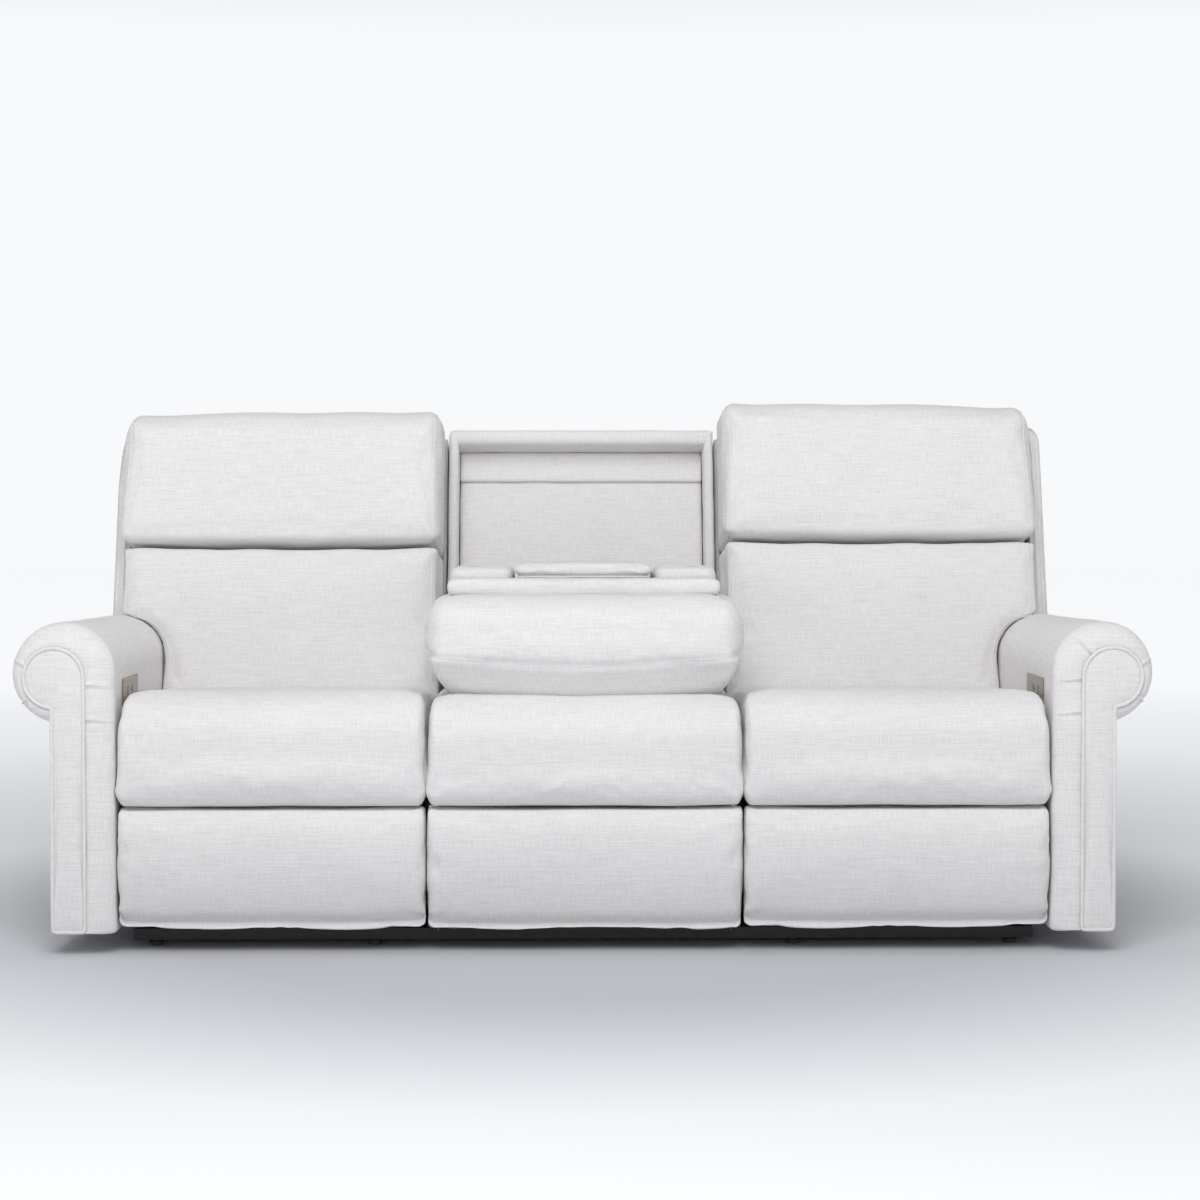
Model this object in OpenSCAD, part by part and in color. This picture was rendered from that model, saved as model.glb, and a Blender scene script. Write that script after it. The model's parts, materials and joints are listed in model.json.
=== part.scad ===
// Three-seat reclining sofa. The middle back folds down over the middle seat as a console.
// X runs across the sofa, Y from the front to the rear, Z up from the floor.

/* [Overall] */
// Width over the two rolled arms
sofa_w = 2180; // [2100:10:2400]
// Distance from the middle of the sofa to the arm fronts
front_y = 500; // [480:5:540]
// Running gap between neighbouring pieces that pass each other
run_gap = 3; // [2:0.5:5]
// Gap between a piece and what it is seated on
seat_fit = 0.3; // [0.2:0.05:0.5]

/* [Seats] */
// Width of the middle seat
centre_w = 606; // [580:2:640]
// Height of the highest point of a side seat
seat_top = 500; // [480:5:530]
// Height of the underside of the seat cushions
seat_low = 283; // [270:1:290]
// Depth of a seat cushion
seat_d = 553; // [520:1:560]
// Fall of the seat surface from its front crown to its rear edge
seat_fall = 33; // [20:1:45]
// How far the console presses the middle seat down
pressed = 18; // [12:1:30]
// Gap between a side seat and the inner face of its arm
arm_clear = 4; // [3:0.5:8]
// How far a seat front stays behind the arm fronts
seat_set = 2; // [0:1:10]

/* [Arms] */
// Width of the rolled arm top
arm_w = 193; // [170:1:210]
// Width of the arm below the roll
post_w = 122; // [100:1:130]
// Height of the arm top
arm_top = 629; // [600:1:660]
// Height of the lower edge of the arms
arm_low = 40; // [30:1:50]
// Length of the roll from the arm front
roll_len = 620; // [560:5:625]
// Length of the whole arm from its front
arm_len = 800; // [760:5:810]
// Height of the arm just behind the roll
arm_step = 500; // [450:5:510]
// Height of the rear end of the arm
arm_tail = 340; // [300:5:350]
// Radius of the round head of the front panel
scroll_r = 56; // [45:1:60]
// Width of the straight part of the front panel
panel_w = 69; // [50:1:72]
// Thickness of the front panel
panel_t = 9; // [6:1:12]
// Radius of the piping cord round the front panel
piping_r = 5; // [3:0.5:6]

/* [Footrests] */
// Height of the lower edge of the footrest pads
pad_low = 48; // [44:1:60]
// Height of the upper edge of the footrest pads
pad_high = 280; // [270:1:281]
// Thickness of a footrest pad
pad_t = 61; // [50:1:62]
// How far the pad fronts stay behind the arm fronts
pad_set = 5; // [2:1:10]
// Thickness of the footrest board
board_t = 15; // [12:1:18]
// Length of a footrest link between its pivots
link_len = 200; // [190:1:202]
// Slope of the links with the footrest closed, in degrees
link_slope = 60; // [56:1:64]
// Distance between the front and the rear pivot of the links
link_pitch = 90; // [84:1:100]
// Width of a footrest link
link_w = 26; // [20:1:28]
// Radius of the link pins
pin_r = 5; // [4:0.5:6]
// Radial clearance of a pin in its hole
pin_fit = 0.05; // [0.03:0.01:0.08]

/* [Backs] */
// Lean of the backs at rest, in degrees
lean = 15; // [12:1:16]
// Depth of the side back cushions behind the console hinge line
cushion_back = 150; // [146:1:156]
// Height of the seam between the lumbar and the head cushion along the back
seam_u = 217; // [200:1:235]
// Lower end of the lumbar cushion along the back
lumbar_u = -110; // [-115:1:-100]
// Upper end of the head cushion along the back
head_u = 553; // [535:1:560]
// Lower end of the back shells along the back
shell_low_u = -300; // [-305:1:-280]
// Upper end of the back shells along the back
shell_top_u = 517; // [505:1:520]
// Distance from the console hinge line to the rear of the back shells
shell_back = 275; // [270:1:285]
// Width by which the upper back overlaps the arm
wing_w = 123; // [110:1:126]
// Lower end of the overlapping wings along the back
wing_u = 70; // [68:1:85]
// Wall of the back shells
shell_t = 12; // [10:1:14]
// Thickness of the padded side of a wing
wing_t = 30; // [24:1:34]

/* [Console] */
// Place of the console hinge behind the middle of the sofa
hinge_y = 90; // [86:1:95]
// Height of the console hinge
hinge_z = 555; // [551:1:560]
// Length of the console in front of its hinge
console_len = 548; // [530:2:556]
// Length of the console's head cushion
head_len = 260; // [240:2:270]
// Height of the underside of the console
under_z = 487; // [486:1:492]
// Height of the tray's underside
tray_low = 600; // [596:1:604]
// Height of the tray's top board
tray_top = 680; // [678:1:684]
// Height of the top of the long front pad
front_pad_z = 715; // [708:1:720]
// Height of the top of the side pads
side_pad_z = 735; // [728:1:737]
// Height of the top of the lid pad
lid_z = 744; // [740:1:746]
// Width of the lid
lid_w = 284; // [260:2:290]
// Inner radius of the cup holders
cup_r = 40; // [36:1:42]
// Depth of the cup holders
cup_depth = 92; // [70:1:95]
// Wall of the cup holders and of the storage bin
cup_wall = 3; // [2:0.5:3.5]
// Radius of the console's hinge pins
hinge_pin_r = 9; // [7:0.5:10]

/* [Well] */
// Distance from the console hinge line to the front of the rim
rim_v = 120; // [119:1:124]
// Depth of the well behind the rim front
well_depth = 74; // [72:1:78]
// Width of the rim's side members
rim_side = 22; // [18:1:23]
// Height of the rim's top member
rim_top = 36; // [30:1:40]
// Lower end of the well opening along the back
well_low_u = 40; // [36:1:46]
// Upper end of the well opening along the back
well_top_u = 485; // [470:1:490]
// Height of the rail across the top of the well
rail_h = 69; // [55:1:72]
// How far the rail stands in front of the well panel
rail_proud = 8; // [5:1:10]

/* [Base and mechanism] */
// Height of the black base rails above the floor
rail_low = 11; // [10:1:14]
// Top of the black base rails
rail_top = 33; // [28:1:36]
// Width of a base rail
rail_w = 25; // [20:1:28]
// Place of the front base rail behind the arm fronts
rail_set = 120; // [110:1:130]
// Room between the end of a base rail and the arm beside it
rail_end_gap = 17; // [8:1:24]
// Radius of the glides
foot_r = 14; // [10:1:16]
// Width of the side members of a recliner frame
frame_w = 20; // [16:1:22]
// Height of the side members of a recliner frame
frame_h = 40; // [36:1:42]
// Distance from the seat edge to the recliner frame
frame_set = 24; // [23:1:26]
// Top of the tracks that the seats slide on
track_z = 100; // [95:1:104]
// Travel of a seat on its tracks
slide_travel = 110; // [90:5:115]
// Place of the recline pivot behind the middle of the sofa
pivot_y = 110; // [106:1:114]
// Height of the recline pivot
pivot_z = 330; // [322:1:334]
// Radius of the recline pins
pivot_r = 8; // [6:0.5:9]

/* [Hidden] */
fabric = [0.88, 0.86, 0.82];
steel = [0.12, 0.12, 0.13];
zinc = [0.62, 0.63, 0.65];
timber = [0.72, 0.57, 0.40];
bronze = [0.52, 0.47, 0.42];
plastic = [0.08, 0.08, 0.09];

// Overrun of every cut
over = 5;
// Width of a flat bar between its round ends, as a share of the ends
waist_share = 0.86;
// Shared steel plate thickness and gap between two plate layers
plate_t = 5;
layer_gap = 2;
// Sides of a cushion's rings, and rings of a large, a small and a tiny cushion
ring_sides = 24;
big_rings = 11;
small_rings = 7;
tiny_rings = 5;
// Shares that shape the cushions: fall at the ends, and how far the sides draw in
crown_share = 0.14;
pinch_share = 0.008;
// Squareness of a cushion's outline, of a seat's front and of a cushion's ends
outline_share = 0.28;
nose_share = 0.5;
end_share = 0.22;
// Degrees by which the points of a ring crowd towards its corners
corner_crowd = 7;

// Places across the sofa
arm_in = sofa_w / 2 - arm_w;
rail_half = arm_in - rail_end_gap;
arm_front = -front_y;
centre_half = centre_w / 2;
seat_in = centre_half + run_gap;
seat_out = arm_in - arm_clear;
unit_mid = (seat_in + seat_out) / 2;
unit_half = (seat_out - seat_in) / 2;
back_out = arm_in + wing_w;
back_in = centre_half - run_gap;
well_half = back_in - run_gap;

// Arm: centre of the roll and of the scroll head
roll_r = arm_w / 2;
roll_x = arm_in + roll_r;
roll_z = arm_top - roll_r;
post_out = arm_in + post_w;
scroll_x = post_out - panel_w + scroll_r;
scroll_z = roll_z - piping_r;
cover_front = arm_front + panel_t + seat_fit;
roll_end = arm_front + roll_len;
arm_rear = arm_front + arm_len;

// Arm timber: a square post and rail section
timber_w = 40;
timber_in = 30;

// Control plate in the arm's inner face
plate_len = 156;
plate_h = 52;
plate_set = 185;
plate_y = arm_front + plate_set;
plate_z = 496;
plate_proud = 3;
plate_deep = 3;
button_w = 22;
button_h = 16;
button_pitch = 46;
button_run = 2;
button_proud = 1;
port_w = 9;
port_h = 4;

// Seats
seat_front = arm_front + seat_set;
seat_rear = seat_front + seat_d;

// Footrest: pads and boards
pad_front = arm_front + pad_set;
pad_rear = pad_front + pad_t;
pad_side = 2;
rest_board_y = pad_rear + seat_fit;
rest_board_back = rest_board_y + board_t;
lug_r = 12;
lug_t = plate_t;
pivot_set = 13;
rest_pivot_y = rest_board_back + pivot_set;
rest_pivot_z = pad_high - 2 * pivot_set;

// Glides: place of the inner ones and height of their discs
inner_foot_share = 0.466;
inner_foot_x = rail_half * inner_foot_share;
foot_share = 0.7;

// Recliner frame: side members and link pivots, measured from the middle of the unit
side_far = unit_half - frame_set;
side_near = side_far - frame_w;
side_z = seat_low - frame_h;
link_set = 33;
link_a_y = rest_board_back + link_set;
link_a_z = seat_low - frame_h / 2;
link_b_y = link_a_y + link_pitch;
link_far = side_near - 2 * layer_gap;
link_near = link_far - plate_t;
riser_far = link_near - layer_gap;
riser_near = riser_far - plate_t;
lug_far = riser_near - layer_gap;
lug_near = lug_far - lug_t;
rest_board_half = lug_far + seat_fit;
link_dy = link_len * cos(link_slope);
link_dz = link_len * sin(link_slope);
frame_front = link_a_y - frame_w;
plate_rear = pivot_y + frame_w - plate_t;
plate_front = seat_rear + plate_t;
bracket_near = side_far + plate_t;
bracket_far = bracket_near + plate_t;
pivot_boss = 22;
open_fit = 0.6;
torque_r = 10;
// Cross tubes of the recliner frame
tube_w = 25;
wire_t = 4;
tube_low = side_z + plate_t;
tube_high = seat_low - wire_t - seat_fit;
tube_front_set = 45;
tube_rear_set = 35;
tube_front_y = link_b_y + tube_front_set;
tube_rear_y = seat_rear - tube_rear_set;

// Tracks on the base and the shoes that slide on them
track_w = frame_w - layer_gap;
track_h = 20;
track_front = arm_front + 2.5 * rail_set;
track_len = 320;
track_rear = track_front + track_len;
shoe_len = 140;
shoe_front = track_front + slide_travel + 2 * plate_t;
shoe_wall = 2.2;
shoe_lip = 14;
post_len = 30;
side_mid = (side_far + side_near) / 2;

// Springs under the cushions
spring_count = 5;
spring_waves = 10;
spring_amp = 22;
spring_steps = 40;

// Drive under the seat
drive_w = 40;
drive_h = 30;
drive_low = 200;
gear_w = 64;
gear_d = 70;
gear_low = 170;
motor_r = 24;
motor_len = 60;
block_len = 40;
block_wall = 8;
drive_travel = 200;
gear_rear = tube_rear_y + tube_w;
gear_front = gear_rear - gear_d;
block_rear = gear_front - tube_rear_set;

// Back: cushions and frame in the leaning frame
lumbar_front = -25;
head_front = -48;
seam_gap = 1;
ear_share = 0.24;
ear_soft_share = 0.25;
ear_w = wing_w - wing_t - run_gap;
wing_front = 60;
frame_v = cushion_back + seat_fit;
frame_vt = 30;
upright_w = 30;
upright_low = -240;
upright_top = shell_top_u - shell_t - seat_fit;
rung_h = 34;
rung_shares = [0.1, 0.6, 1];
pivot_dy = pivot_y - hinge_y;
pivot_dz = pivot_z - hinge_z;
pivot_u = pivot_dy * sin(lean) + pivot_dz * cos(lean);
pivot_v = pivot_dy * cos(lean) - pivot_dz * sin(lean);

// Well and middle back
well_back_v = rim_v + well_depth;
panel_board = 12;
shell_front_v = well_back_v + panel_board;
well_open = well_half - rim_side;
rim_low_h = 30;
rim_low_u = well_low_u - rim_low_h;
post_set = 20;
post_v = rim_v + post_set;
post_v_end = shell_back - post_set;
post_u_top = -50;

// Console
tray_half = well_half - shell_t - seat_fit;
arm_plate_x = tray_half + seat_fit;
arm_plate_end = arm_plate_x + plate_t;
pivot_plate_x = arm_plate_end + layer_gap;
pivot_plate_end = pivot_plate_x + plate_t;
lower_half = tray_half - run_gap;
roll_end_r = hinge_z - under_z - layer_gap;
console_front = hinge_y - console_len;
head_rear = console_front + head_len;
tray_front = head_rear + run_gap;
tray_set = 52;
tray_rear = hinge_y - tray_set;
pads_room = 7;
pads_half = well_open - pads_room;
lip_t = 6;
front_pad_w = 105;
lip_front = tray_front - front_pad_w;
head_top = tray_top - lip_t - seat_fit;
console_boss = 24;
console_arm_run = 150;
console_arm_y = hinge_y - console_arm_run;
console_arm_z = (tray_low + tray_top - lip_t) / 2;
pivot_boss_r = 20;
pivot_foot_u = -60;
cup_x = lid_w / 4 + pads_half / 2 + run_gap / 2;
cup_y = (tray_front + tray_rear) / 2;
cup_out = cup_r + cup_wall;
cup_lip = 2;
lid_room = 1;
bin_set = 8;
bin_floor = 10;
bin_half = lid_w / 2 - bin_set;
bin_front = tray_front + 2 * bin_set;
bin_rear = tray_rear - 2 * bin_set;
bin_low = tray_low + bin_floor;
lid_board = 6;
lid_t = 32;
lid_low = lid_z - lid_t;
hinge_rod_r = 2;
knuckle_r = 4;
lid_hinge_y = tray_rear + knuckle_r;
lid_hinge_z = lid_low;
upstand_t = 14;
upstand_top = lid_low - plate_t;
knuckle_w = 6;
knuckle_x = 60;
strap_w = 30;
strap_x = 34;
strap_len = 16;
strap_t = 2;

// Rear panel between the arms
valance_set = 22;
valance_y = arm_rear - valance_set;
valance_t = 12;
valance_top = 190;
rear_rail_set = 85;
rear_rail_y = arm_rear - rear_rail_set;

// Wooden box under the middle seat
box_t = 11.7;
box_half = tray_half;
box_front = rest_board_back;
box_rear = rear_rail_y + rail_w;
box_step = 38;
box_rear_top = valance_top + box_step;
slat_w = 60;
slat_count = 4;

$fn = 48;

// Box between two opposite corners
module span(low, high) {
    translate(low) cube(high - low);
}

// The same thing on both sides of the sofa
module both_sides() {
    children();
    mirror([1, 0, 0]) children();
}

// The left-hand twin of what is drawn for the right
module left_side() {
    mirror([1, 0, 0]) children();
}

// Both edges of a recliner unit, drawn from the unit's own middle
module unit_edges() {
    translate([unit_mid, 0, 0]) both_sides() children();
}

// Leaning frame of the backs: X across, Y square to the back, Z up along it
module leaning() {
    translate([0, hinge_y, hinge_z]) rotate([-lean, 0, 0]) children();
}

// Round bar along X between two places
module cross_pin(x0, x1, y, z, r) {
    translate([x0, y, z]) rotate([0, 90, 0]) cylinder(h = x1 - x0, r = r);
}

// Flat bar with round ends between two pivots, standing in the Y-Z plane.
// hole_p and hole_q are the radii of the holes at its ends.
module flat_bar(x0, x1, p, q, w, hole_p = 0, hole_q = 0) {
    reach = norm(q - p);
    turn = atan2(q[1] - p[1], q[0] - p[0]);
    translate([x0, 0, 0]) rotate([90, 0, 90]) linear_extrude(height = x1 - x0) difference() {
        union() {
            translate(p) circle(r = w / 2);
            translate(q) circle(r = w / 2);
            translate(p) rotate(turn) translate([0, -w * waist_share / 2]) square([reach, w * waist_share]);
        }
        if (hole_p > 0) translate(p) circle(r = hole_p);
        if (hole_q > 0) translate(q) circle(r = hole_q);
    }
}

// A sine or cosine bent towards a squarer curve
function bent(t, share) = sign(t) * pow(abs(t), share);

// Distance to the edge of a squared circle in one direction
function edge_reach(turn, share) =
    pow(pow(abs(cos(turn)), 2 / share) + pow(abs(sin(turn)), 2 / share), -share / 2);

// Points of a cushion of unit half sizes: rings between two end points on the X axis.
// The points crowd towards the corners of a ring.
function ring_turn(i) = 360 * i / ring_sides + corner_crowd * sin(4 * 360 * i / ring_sides);
function unit_ring(along, size, nose) = [
    for (i = [0 : ring_sides - 1])
        let (t = ring_turn(i), r = size * edge_reach(t, cos(t) < 0 ? nose : outline_share))
        [along, r * cos(t), r * sin(t)]
];
function unit_cushion(rings, nose) = [
    [-1, 0, 0],
    for (k = [1 : rings])
        let (t = -90 + 180 * k / (rings + 1))
        each unit_ring(bent(sin(t), end_share), bent(cos(t), end_share), nose),
    [1, 0, 0]
];
function ring_point(k, i) = 1 + (k - 1) * ring_sides + (i % ring_sides);
function cushion_faces(rings) = [
    for (i = [0 : ring_sides - 1]) [0, ring_point(1, i), ring_point(1, i + 1)],
    for (k = [1 : rings - 1]) for (i = [0 : ring_sides - 1])
        each [
            [ring_point(k, i), ring_point(k + 1, i), ring_point(k + 1, i + 1)],
            [ring_point(k, i), ring_point(k + 1, i + 1), ring_point(k, i + 1)]
        ],
    for (i = [0 : ring_sides - 1])
        [1 + rings * ring_sides, ring_point(rings, i + 1), ring_point(rings, i)]
];

// Unit point to its real place: crown, drawn-in sides, falling top and an ear on the +X side
function ease(t) = t <= 0 ? 0 : t >= 1 ? 1 : t * t * (3 - 2 * t);
function ear_shift(p, ear) = ear * pow(max(p[0], 0), 2) * ease((p[1] - ear_share) / ear_soft_share);
function crowned(p, mid, half, fall, ear) = [
    mid[0] + half[0] * p[0] * (1 - pinch_share * (1 - p[1] * p[1])) + ear_shift(p, ear),
    mid[1] + half[1] * p[1] * (1 - pinch_share * (1 - p[0] * p[0])),
    mid[2] + half[2] * p[2] * (p[2] > 0 ? 1 - crown_share * p[0] * p[0] : 1)
        - fall * max(p[2], 0) * (p[1] + 1) / 2
];

// Cushion that fills the box from low to high, thick along Z
module cushion(low, high, rings = small_rings, fall = 0, ear = 0, nose = outline_share) {
    mid = (low + high) / 2;
    half = (high - low) / 2;
    places = [for (p = unit_cushion(rings, nose)) crowned(p, mid, half, fall, ear)];
    polyhedron(points = places, faces = cushion_faces(rings), convexity = 4);
}

// The same cushion standing up, with its crown to the front
module standing_cushion(low, high, rings = small_rings, ear = 0) {
    rotate([90, 0, 0])
        cushion([low[0], low[2], -high[1]], [high[0], high[2], -low[1]], rings, 0, ear);
}

// Base: a ladder of black tubes with arm brackets and rear brackets
module base_rails() {
    bracket_t = plate_t + arm_low - rail_top;
    front_at = arm_front + rail_set;
    side_w = frame_w + 2 * layer_gap;
    color(steel) {
        span([-rail_half, front_at, rail_low], [rail_half, front_at + rail_w, rail_top]);
        span([-rail_half, rear_rail_y, rail_low], [rail_half, rear_rail_y + rail_w, rail_top]);
        for (x = [-box_half, 0, box_half])
            span([x - rail_w, rear_rail_y + rail_w + seat_fit, rail_top - rail_w / 2],
                 [x + rail_w, valance_y - seat_fit, rail_top + rail_w]);
        both_sides() unit_edges()
            span([side_mid - side_w / 2, front_at + rail_w + seat_fit, rail_low],
                 [side_mid + side_w / 2, rear_rail_y - seat_fit, rail_top]);
        both_sides() for (y = [front_at + 2 * rail_w, rear_rail_y - 4 * rail_w])
            span([unit_mid + side_mid, y, rail_top],
                 [arm_in - seat_fit, y + 2 * rail_w, rail_top + bracket_t]);
    }
}

// Black glides under the base
module feet() {
    pad_h = rail_low * foot_share;
    color(plastic)
        both_sides()
            for (x = [rail_half - 3 * foot_r, inner_foot_x],
                 y = [arm_front + rail_set + rail_w / 2, rear_rail_y + rail_w / 2])
                translate([x, y, 0]) {
                    cylinder(h = pad_h, r = foot_r);
                    cylinder(h = rail_low, r = foot_r / 2);
                }
}

// Outline of the rolled arm, front view
module arm_section() {
    translate([arm_in, arm_low]) square([post_w, roll_z - arm_low]);
    translate([roll_x, roll_z]) circle(r = roll_r);
}

// Four wooden members of the arm, with room to spare where they are cut out
module arm_members(room) {
    low = arm_low + timber_in;
    x0 = arm_in + (post_w - timber_w) / 2;
    front = cover_front + timber_in;
    rear = arm_rear - timber_in - timber_w;
    gap = seat_fit;
    module member(a, b) {
        span([x0 - room, a[0] - room, a[1] - room], [x0 + timber_w + room, b[0] + room, b[1] + room]);
    }
    member([front, low], [front + timber_w, arm_step - timber_w]);
    member([rear, low], [rear + timber_w, arm_tail - timber_w]);
    member([front + timber_w + gap, low], [rear - gap, low + timber_w]);
    member([front + timber_w + gap, arm_tail - 2 * timber_w], [rear - gap, arm_tail - timber_w]);
}

// Control plate pocket and plate, drawn on the right arm
module plate_box(room, deep) {
    span([arm_in - plate_proud - room, plate_y - plate_len / 2 - room, plate_z - plate_h / 2 - room],
         [arm_in + deep + room, plate_y + plate_len / 2 + room, plate_z + plate_h / 2 + room]);
}

// Padded arm with its fabric
module arm_cover() {
    color(fabric) difference() {
        union() {
            translate([0, roll_end, 0]) rotate([90, 0, 0])
                linear_extrude(height = roll_end - cover_front) arm_section();
            translate([arm_in, 0, 0]) rotate([90, 0, 90]) linear_extrude(height = post_w)
                polygon([
                    [roll_end - over, arm_low],
                    [arm_rear, arm_low],
                    [arm_rear, arm_tail],
                    [roll_end, arm_step],
                    [roll_end - over, arm_step]
                ]);
        }
        arm_members(seat_fit);
        plate_box(seat_fit, plate_deep);
        for (s = [-1, 1]) button_box(s, seat_fit, plate_deep + 2 * button_run + over);
    }
}

module right_arm_cover() arm_cover();
module left_arm_cover() left_side() arm_cover();
module arm_frames() color(timber) both_sides() arm_members(0);

// Flat scroll panel on the arm front
module arm_front_panels() {
    color(fabric) both_sides()
        translate([0, arm_front + panel_t, 0]) rotate([90, 0, 0])
            linear_extrude(height = panel_t - piping_r / 2) {
                translate([post_out - panel_w, arm_low + piping_r])
                    square([panel_w - piping_r, scroll_z - arm_low - piping_r]);
                translate([scroll_x, scroll_z]) circle(r = scroll_r - piping_r / 2);
            }
}

// Piping round the scroll: two straight runs and the round head between them
module arm_piping() {
    outer_x = post_out;
    turn = acos((outer_x - scroll_x) / (scroll_r + piping_r));
    tuck_z = scroll_z - (scroll_r + piping_r) * sin(turn);
    at_y = cover_front - piping_r - seat_fit;
    color(fabric) both_sides() {
        translate([scroll_x, at_y, scroll_z]) rotate([90, 0, 0]) rotate([0, 0, -turn])
            rotate_extrude(angle = 180 + turn)
                translate([scroll_r + piping_r + seat_fit, 0]) circle(r = piping_r);
        translate([outer_x + seat_fit, at_y, arm_low])
            cylinder(h = tuck_z - arm_low - 2 * seat_fit, r = piping_r);
        translate([scroll_x - scroll_r - piping_r - seat_fit, at_y, arm_low])
            cylinder(h = scroll_z - arm_low - seat_fit, r = piping_r);
    }
}

// Room that a button needs; s is -1 for the front button and 1 for the rear one
module button_box(s, room, deep) {
    y = plate_y + s * button_pitch / 2;
    span([arm_in - plate_proud - button_proud, y - button_w / 2 - room, plate_z - button_h / 2 - room],
         [arm_in + deep, y + button_w / 2 + room, plate_z + button_h / 2 + room]);
}

// Metal switch plate with two button holes and a charging port
module control_plates() {
    color(bronze) both_sides() difference() {
        plate_box(0, plate_deep);
        for (s = [-1, 1]) translate([-over, 0, 0]) button_box(s, seat_fit, plate_deep + 2 * over);
        span([arm_in - plate_proud - over, plate_y - port_w / 2, plate_z - port_h / 2],
             [arm_in + plate_deep / 2, plate_y + port_w / 2, plate_z + port_h / 2]);
    }
}

// Push button that travels into the arm
module button(s) {
    color(zinc) button_box(s, 0, plate_deep);
}

module right_button_open() button(-1);
module right_button_close() button(1);
module left_button_open() left_side() button(-1);
module left_button_close() left_side() button(1);

// Fixed tracks on the base rails
module recliner_tracks() {
    color(zinc) both_sides() unit_edges() {
        span([side_mid - track_w / 2, track_front, track_z - track_h],
             [side_mid + track_w / 2, track_rear, track_z]);
        for (y = [track_front + post_len, track_rear - 2 * post_len])
            span([side_mid - track_w / 2, y, rail_top + seat_fit],
                 [side_mid + track_w / 2, y + post_len, track_z - track_h]);
    }
}

// Upholstered panel that closes the rear between the arms
module rear_valance() {
    half = arm_in - seat_fit;
    color(fabric) span([-half, valance_y, arm_low], [half, valance_y + valance_t, valance_top]);
}

// Middle seat, pressed down by the console
module centre_seat_cushion() {
    color(fabric)
        cushion([-centre_half, seat_front, seat_low + seat_fit],
                [centre_half, seat_rear, seat_top - pressed],
                big_rings, seat_fall - pressed, 0, nose_share);
}

// Wooden box under the middle seat and the posts that carry the middle back
module centre_seat_frame() {
    slat_step = (seat_rear - box_front - slat_w) / (slat_count - 1);
    inner = box_half - box_t - seat_fit;
    color(timber) {
        both_sides() {
            span([box_half - box_t, box_front, rail_top + seat_fit], [box_half, seat_rear, seat_low]);
            span([box_half - box_t, seat_rear - over, rail_top + seat_fit],
                 [box_half, box_rear, box_rear_top]);
            leaning() span([box_half - box_t, post_v, shell_low_u], [box_half, post_v_end, post_u_top]);
        }
        span([-inner, box_front, pad_low], [inner, box_front + box_t, seat_low - box_t - seat_fit]);
        for (k = [0 : slat_count - 1])
            translate([0, box_front + k * slat_step, 0])
                span([-inner, 0, seat_low - box_t], [inner, slat_w, seat_low]);
    }
}

// Fixed front of the middle seat: a pad on a board
module centre_front_panel() {
    half = centre_half - pad_side;
    color(fabric) {
        standing_cushion([-half, pad_front, pad_low], [half, pad_rear, pad_high], small_rings);
        span([-half + pad_t / 2, rest_board_y, pad_low + pad_t / 4],
             [half - pad_t / 2, rest_board_back - seat_fit, pad_high - pad_t / 4]);
    }
}

// Padded rim round the well, with a rounded front edge
module well_rim() {
    side_r = rim_side / 2;
    top_r = rim_top / 2;
    low_h = well_low_u - rim_low_u;
    low_r = low_h / 2;
    side_x = well_open + side_r;
    color(fabric) leaning() {
        both_sides() {
            translate([side_x, rim_v + side_r, rim_low_u])
                cylinder(h = well_top_u - seat_fit - rim_low_u, r = side_r);
            span([well_open, rim_v + side_r, rim_low_u], [well_half, shell_front_v, well_top_u - seat_fit]);
        }
        cross_pin(-well_half, well_half, rim_v + top_r, well_top_u + top_r, top_r);
        span([-well_half, rim_v + top_r, well_top_u], [well_half, shell_front_v, well_top_u + rim_top]);
        cross_pin(-well_open + seat_fit, well_open - seat_fit, rim_v + low_r, rim_low_u + low_r, low_r);
        span([-well_open + seat_fit, rim_v + low_r, rim_low_u],
             [well_open - seat_fit, shell_front_v, well_low_u]);
    }
}

// Upholstered board at the back of the well
module well_panel() {
    half = well_open - seat_fit;
    color(fabric) leaning()
        span([-half, well_back_v, well_low_u + seat_fit], [half, shell_front_v, well_top_u - seat_fit]);
}

// Covered rail across the top of the well
module well_rail() {
    half = well_open - seat_fit;
    color(fabric) leaning()
        span([-half, well_back_v - rail_proud, well_top_u - rail_h],
             [half, well_back_v - seat_fit, well_top_u - seat_fit]);
}

// Fixed shell of the middle back, made of panels
module centre_back_shell() {
    v0 = shell_front_v + seat_fit;
    v1 = shell_back - shell_t;
    inner = well_half - shell_t - seat_fit;
    color(fabric) leaning() {
        span([-well_half, v1, shell_low_u], [well_half, shell_back, shell_top_u]);
        both_sides() {
            span([well_half - shell_t, v0, shell_low_u], [well_half, v1 - seat_fit, shell_top_u]);
            span([well_half - shell_t, rim_v, shell_low_u], [well_half, v0 - seat_fit, rim_low_u - seat_fit]);
        }
        span([-inner, rim_v, shell_low_u], [inner, rim_v + shell_t, rim_low_u - seat_fit]);
        span([-inner, v0, shell_top_u - shell_t], [inner, v1 - seat_fit, shell_top_u]);
    }
}

// Steel plates with the pins that the console turns on
module console_pivots() {
    color(zinc) both_sides() {
        leaning() {
            cross_pin(pivot_plate_x, pivot_plate_end, 0, 0, pivot_boss_r);
            span([pivot_plate_x, 0, pivot_foot_u], [pivot_plate_end, rim_v - seat_fit, pivot_boss_r]);
            span([pivot_plate_end - 6 * plate_t, rim_v - plate_t - seat_fit, pivot_foot_u],
                 [pivot_plate_end, rim_v - seat_fit, rim_low_u - seat_fit]);
        }
        cross_pin(arm_plate_x - seat_fit, pivot_plate_x, hinge_y, hinge_z, hinge_pin_r);
    }
}

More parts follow.
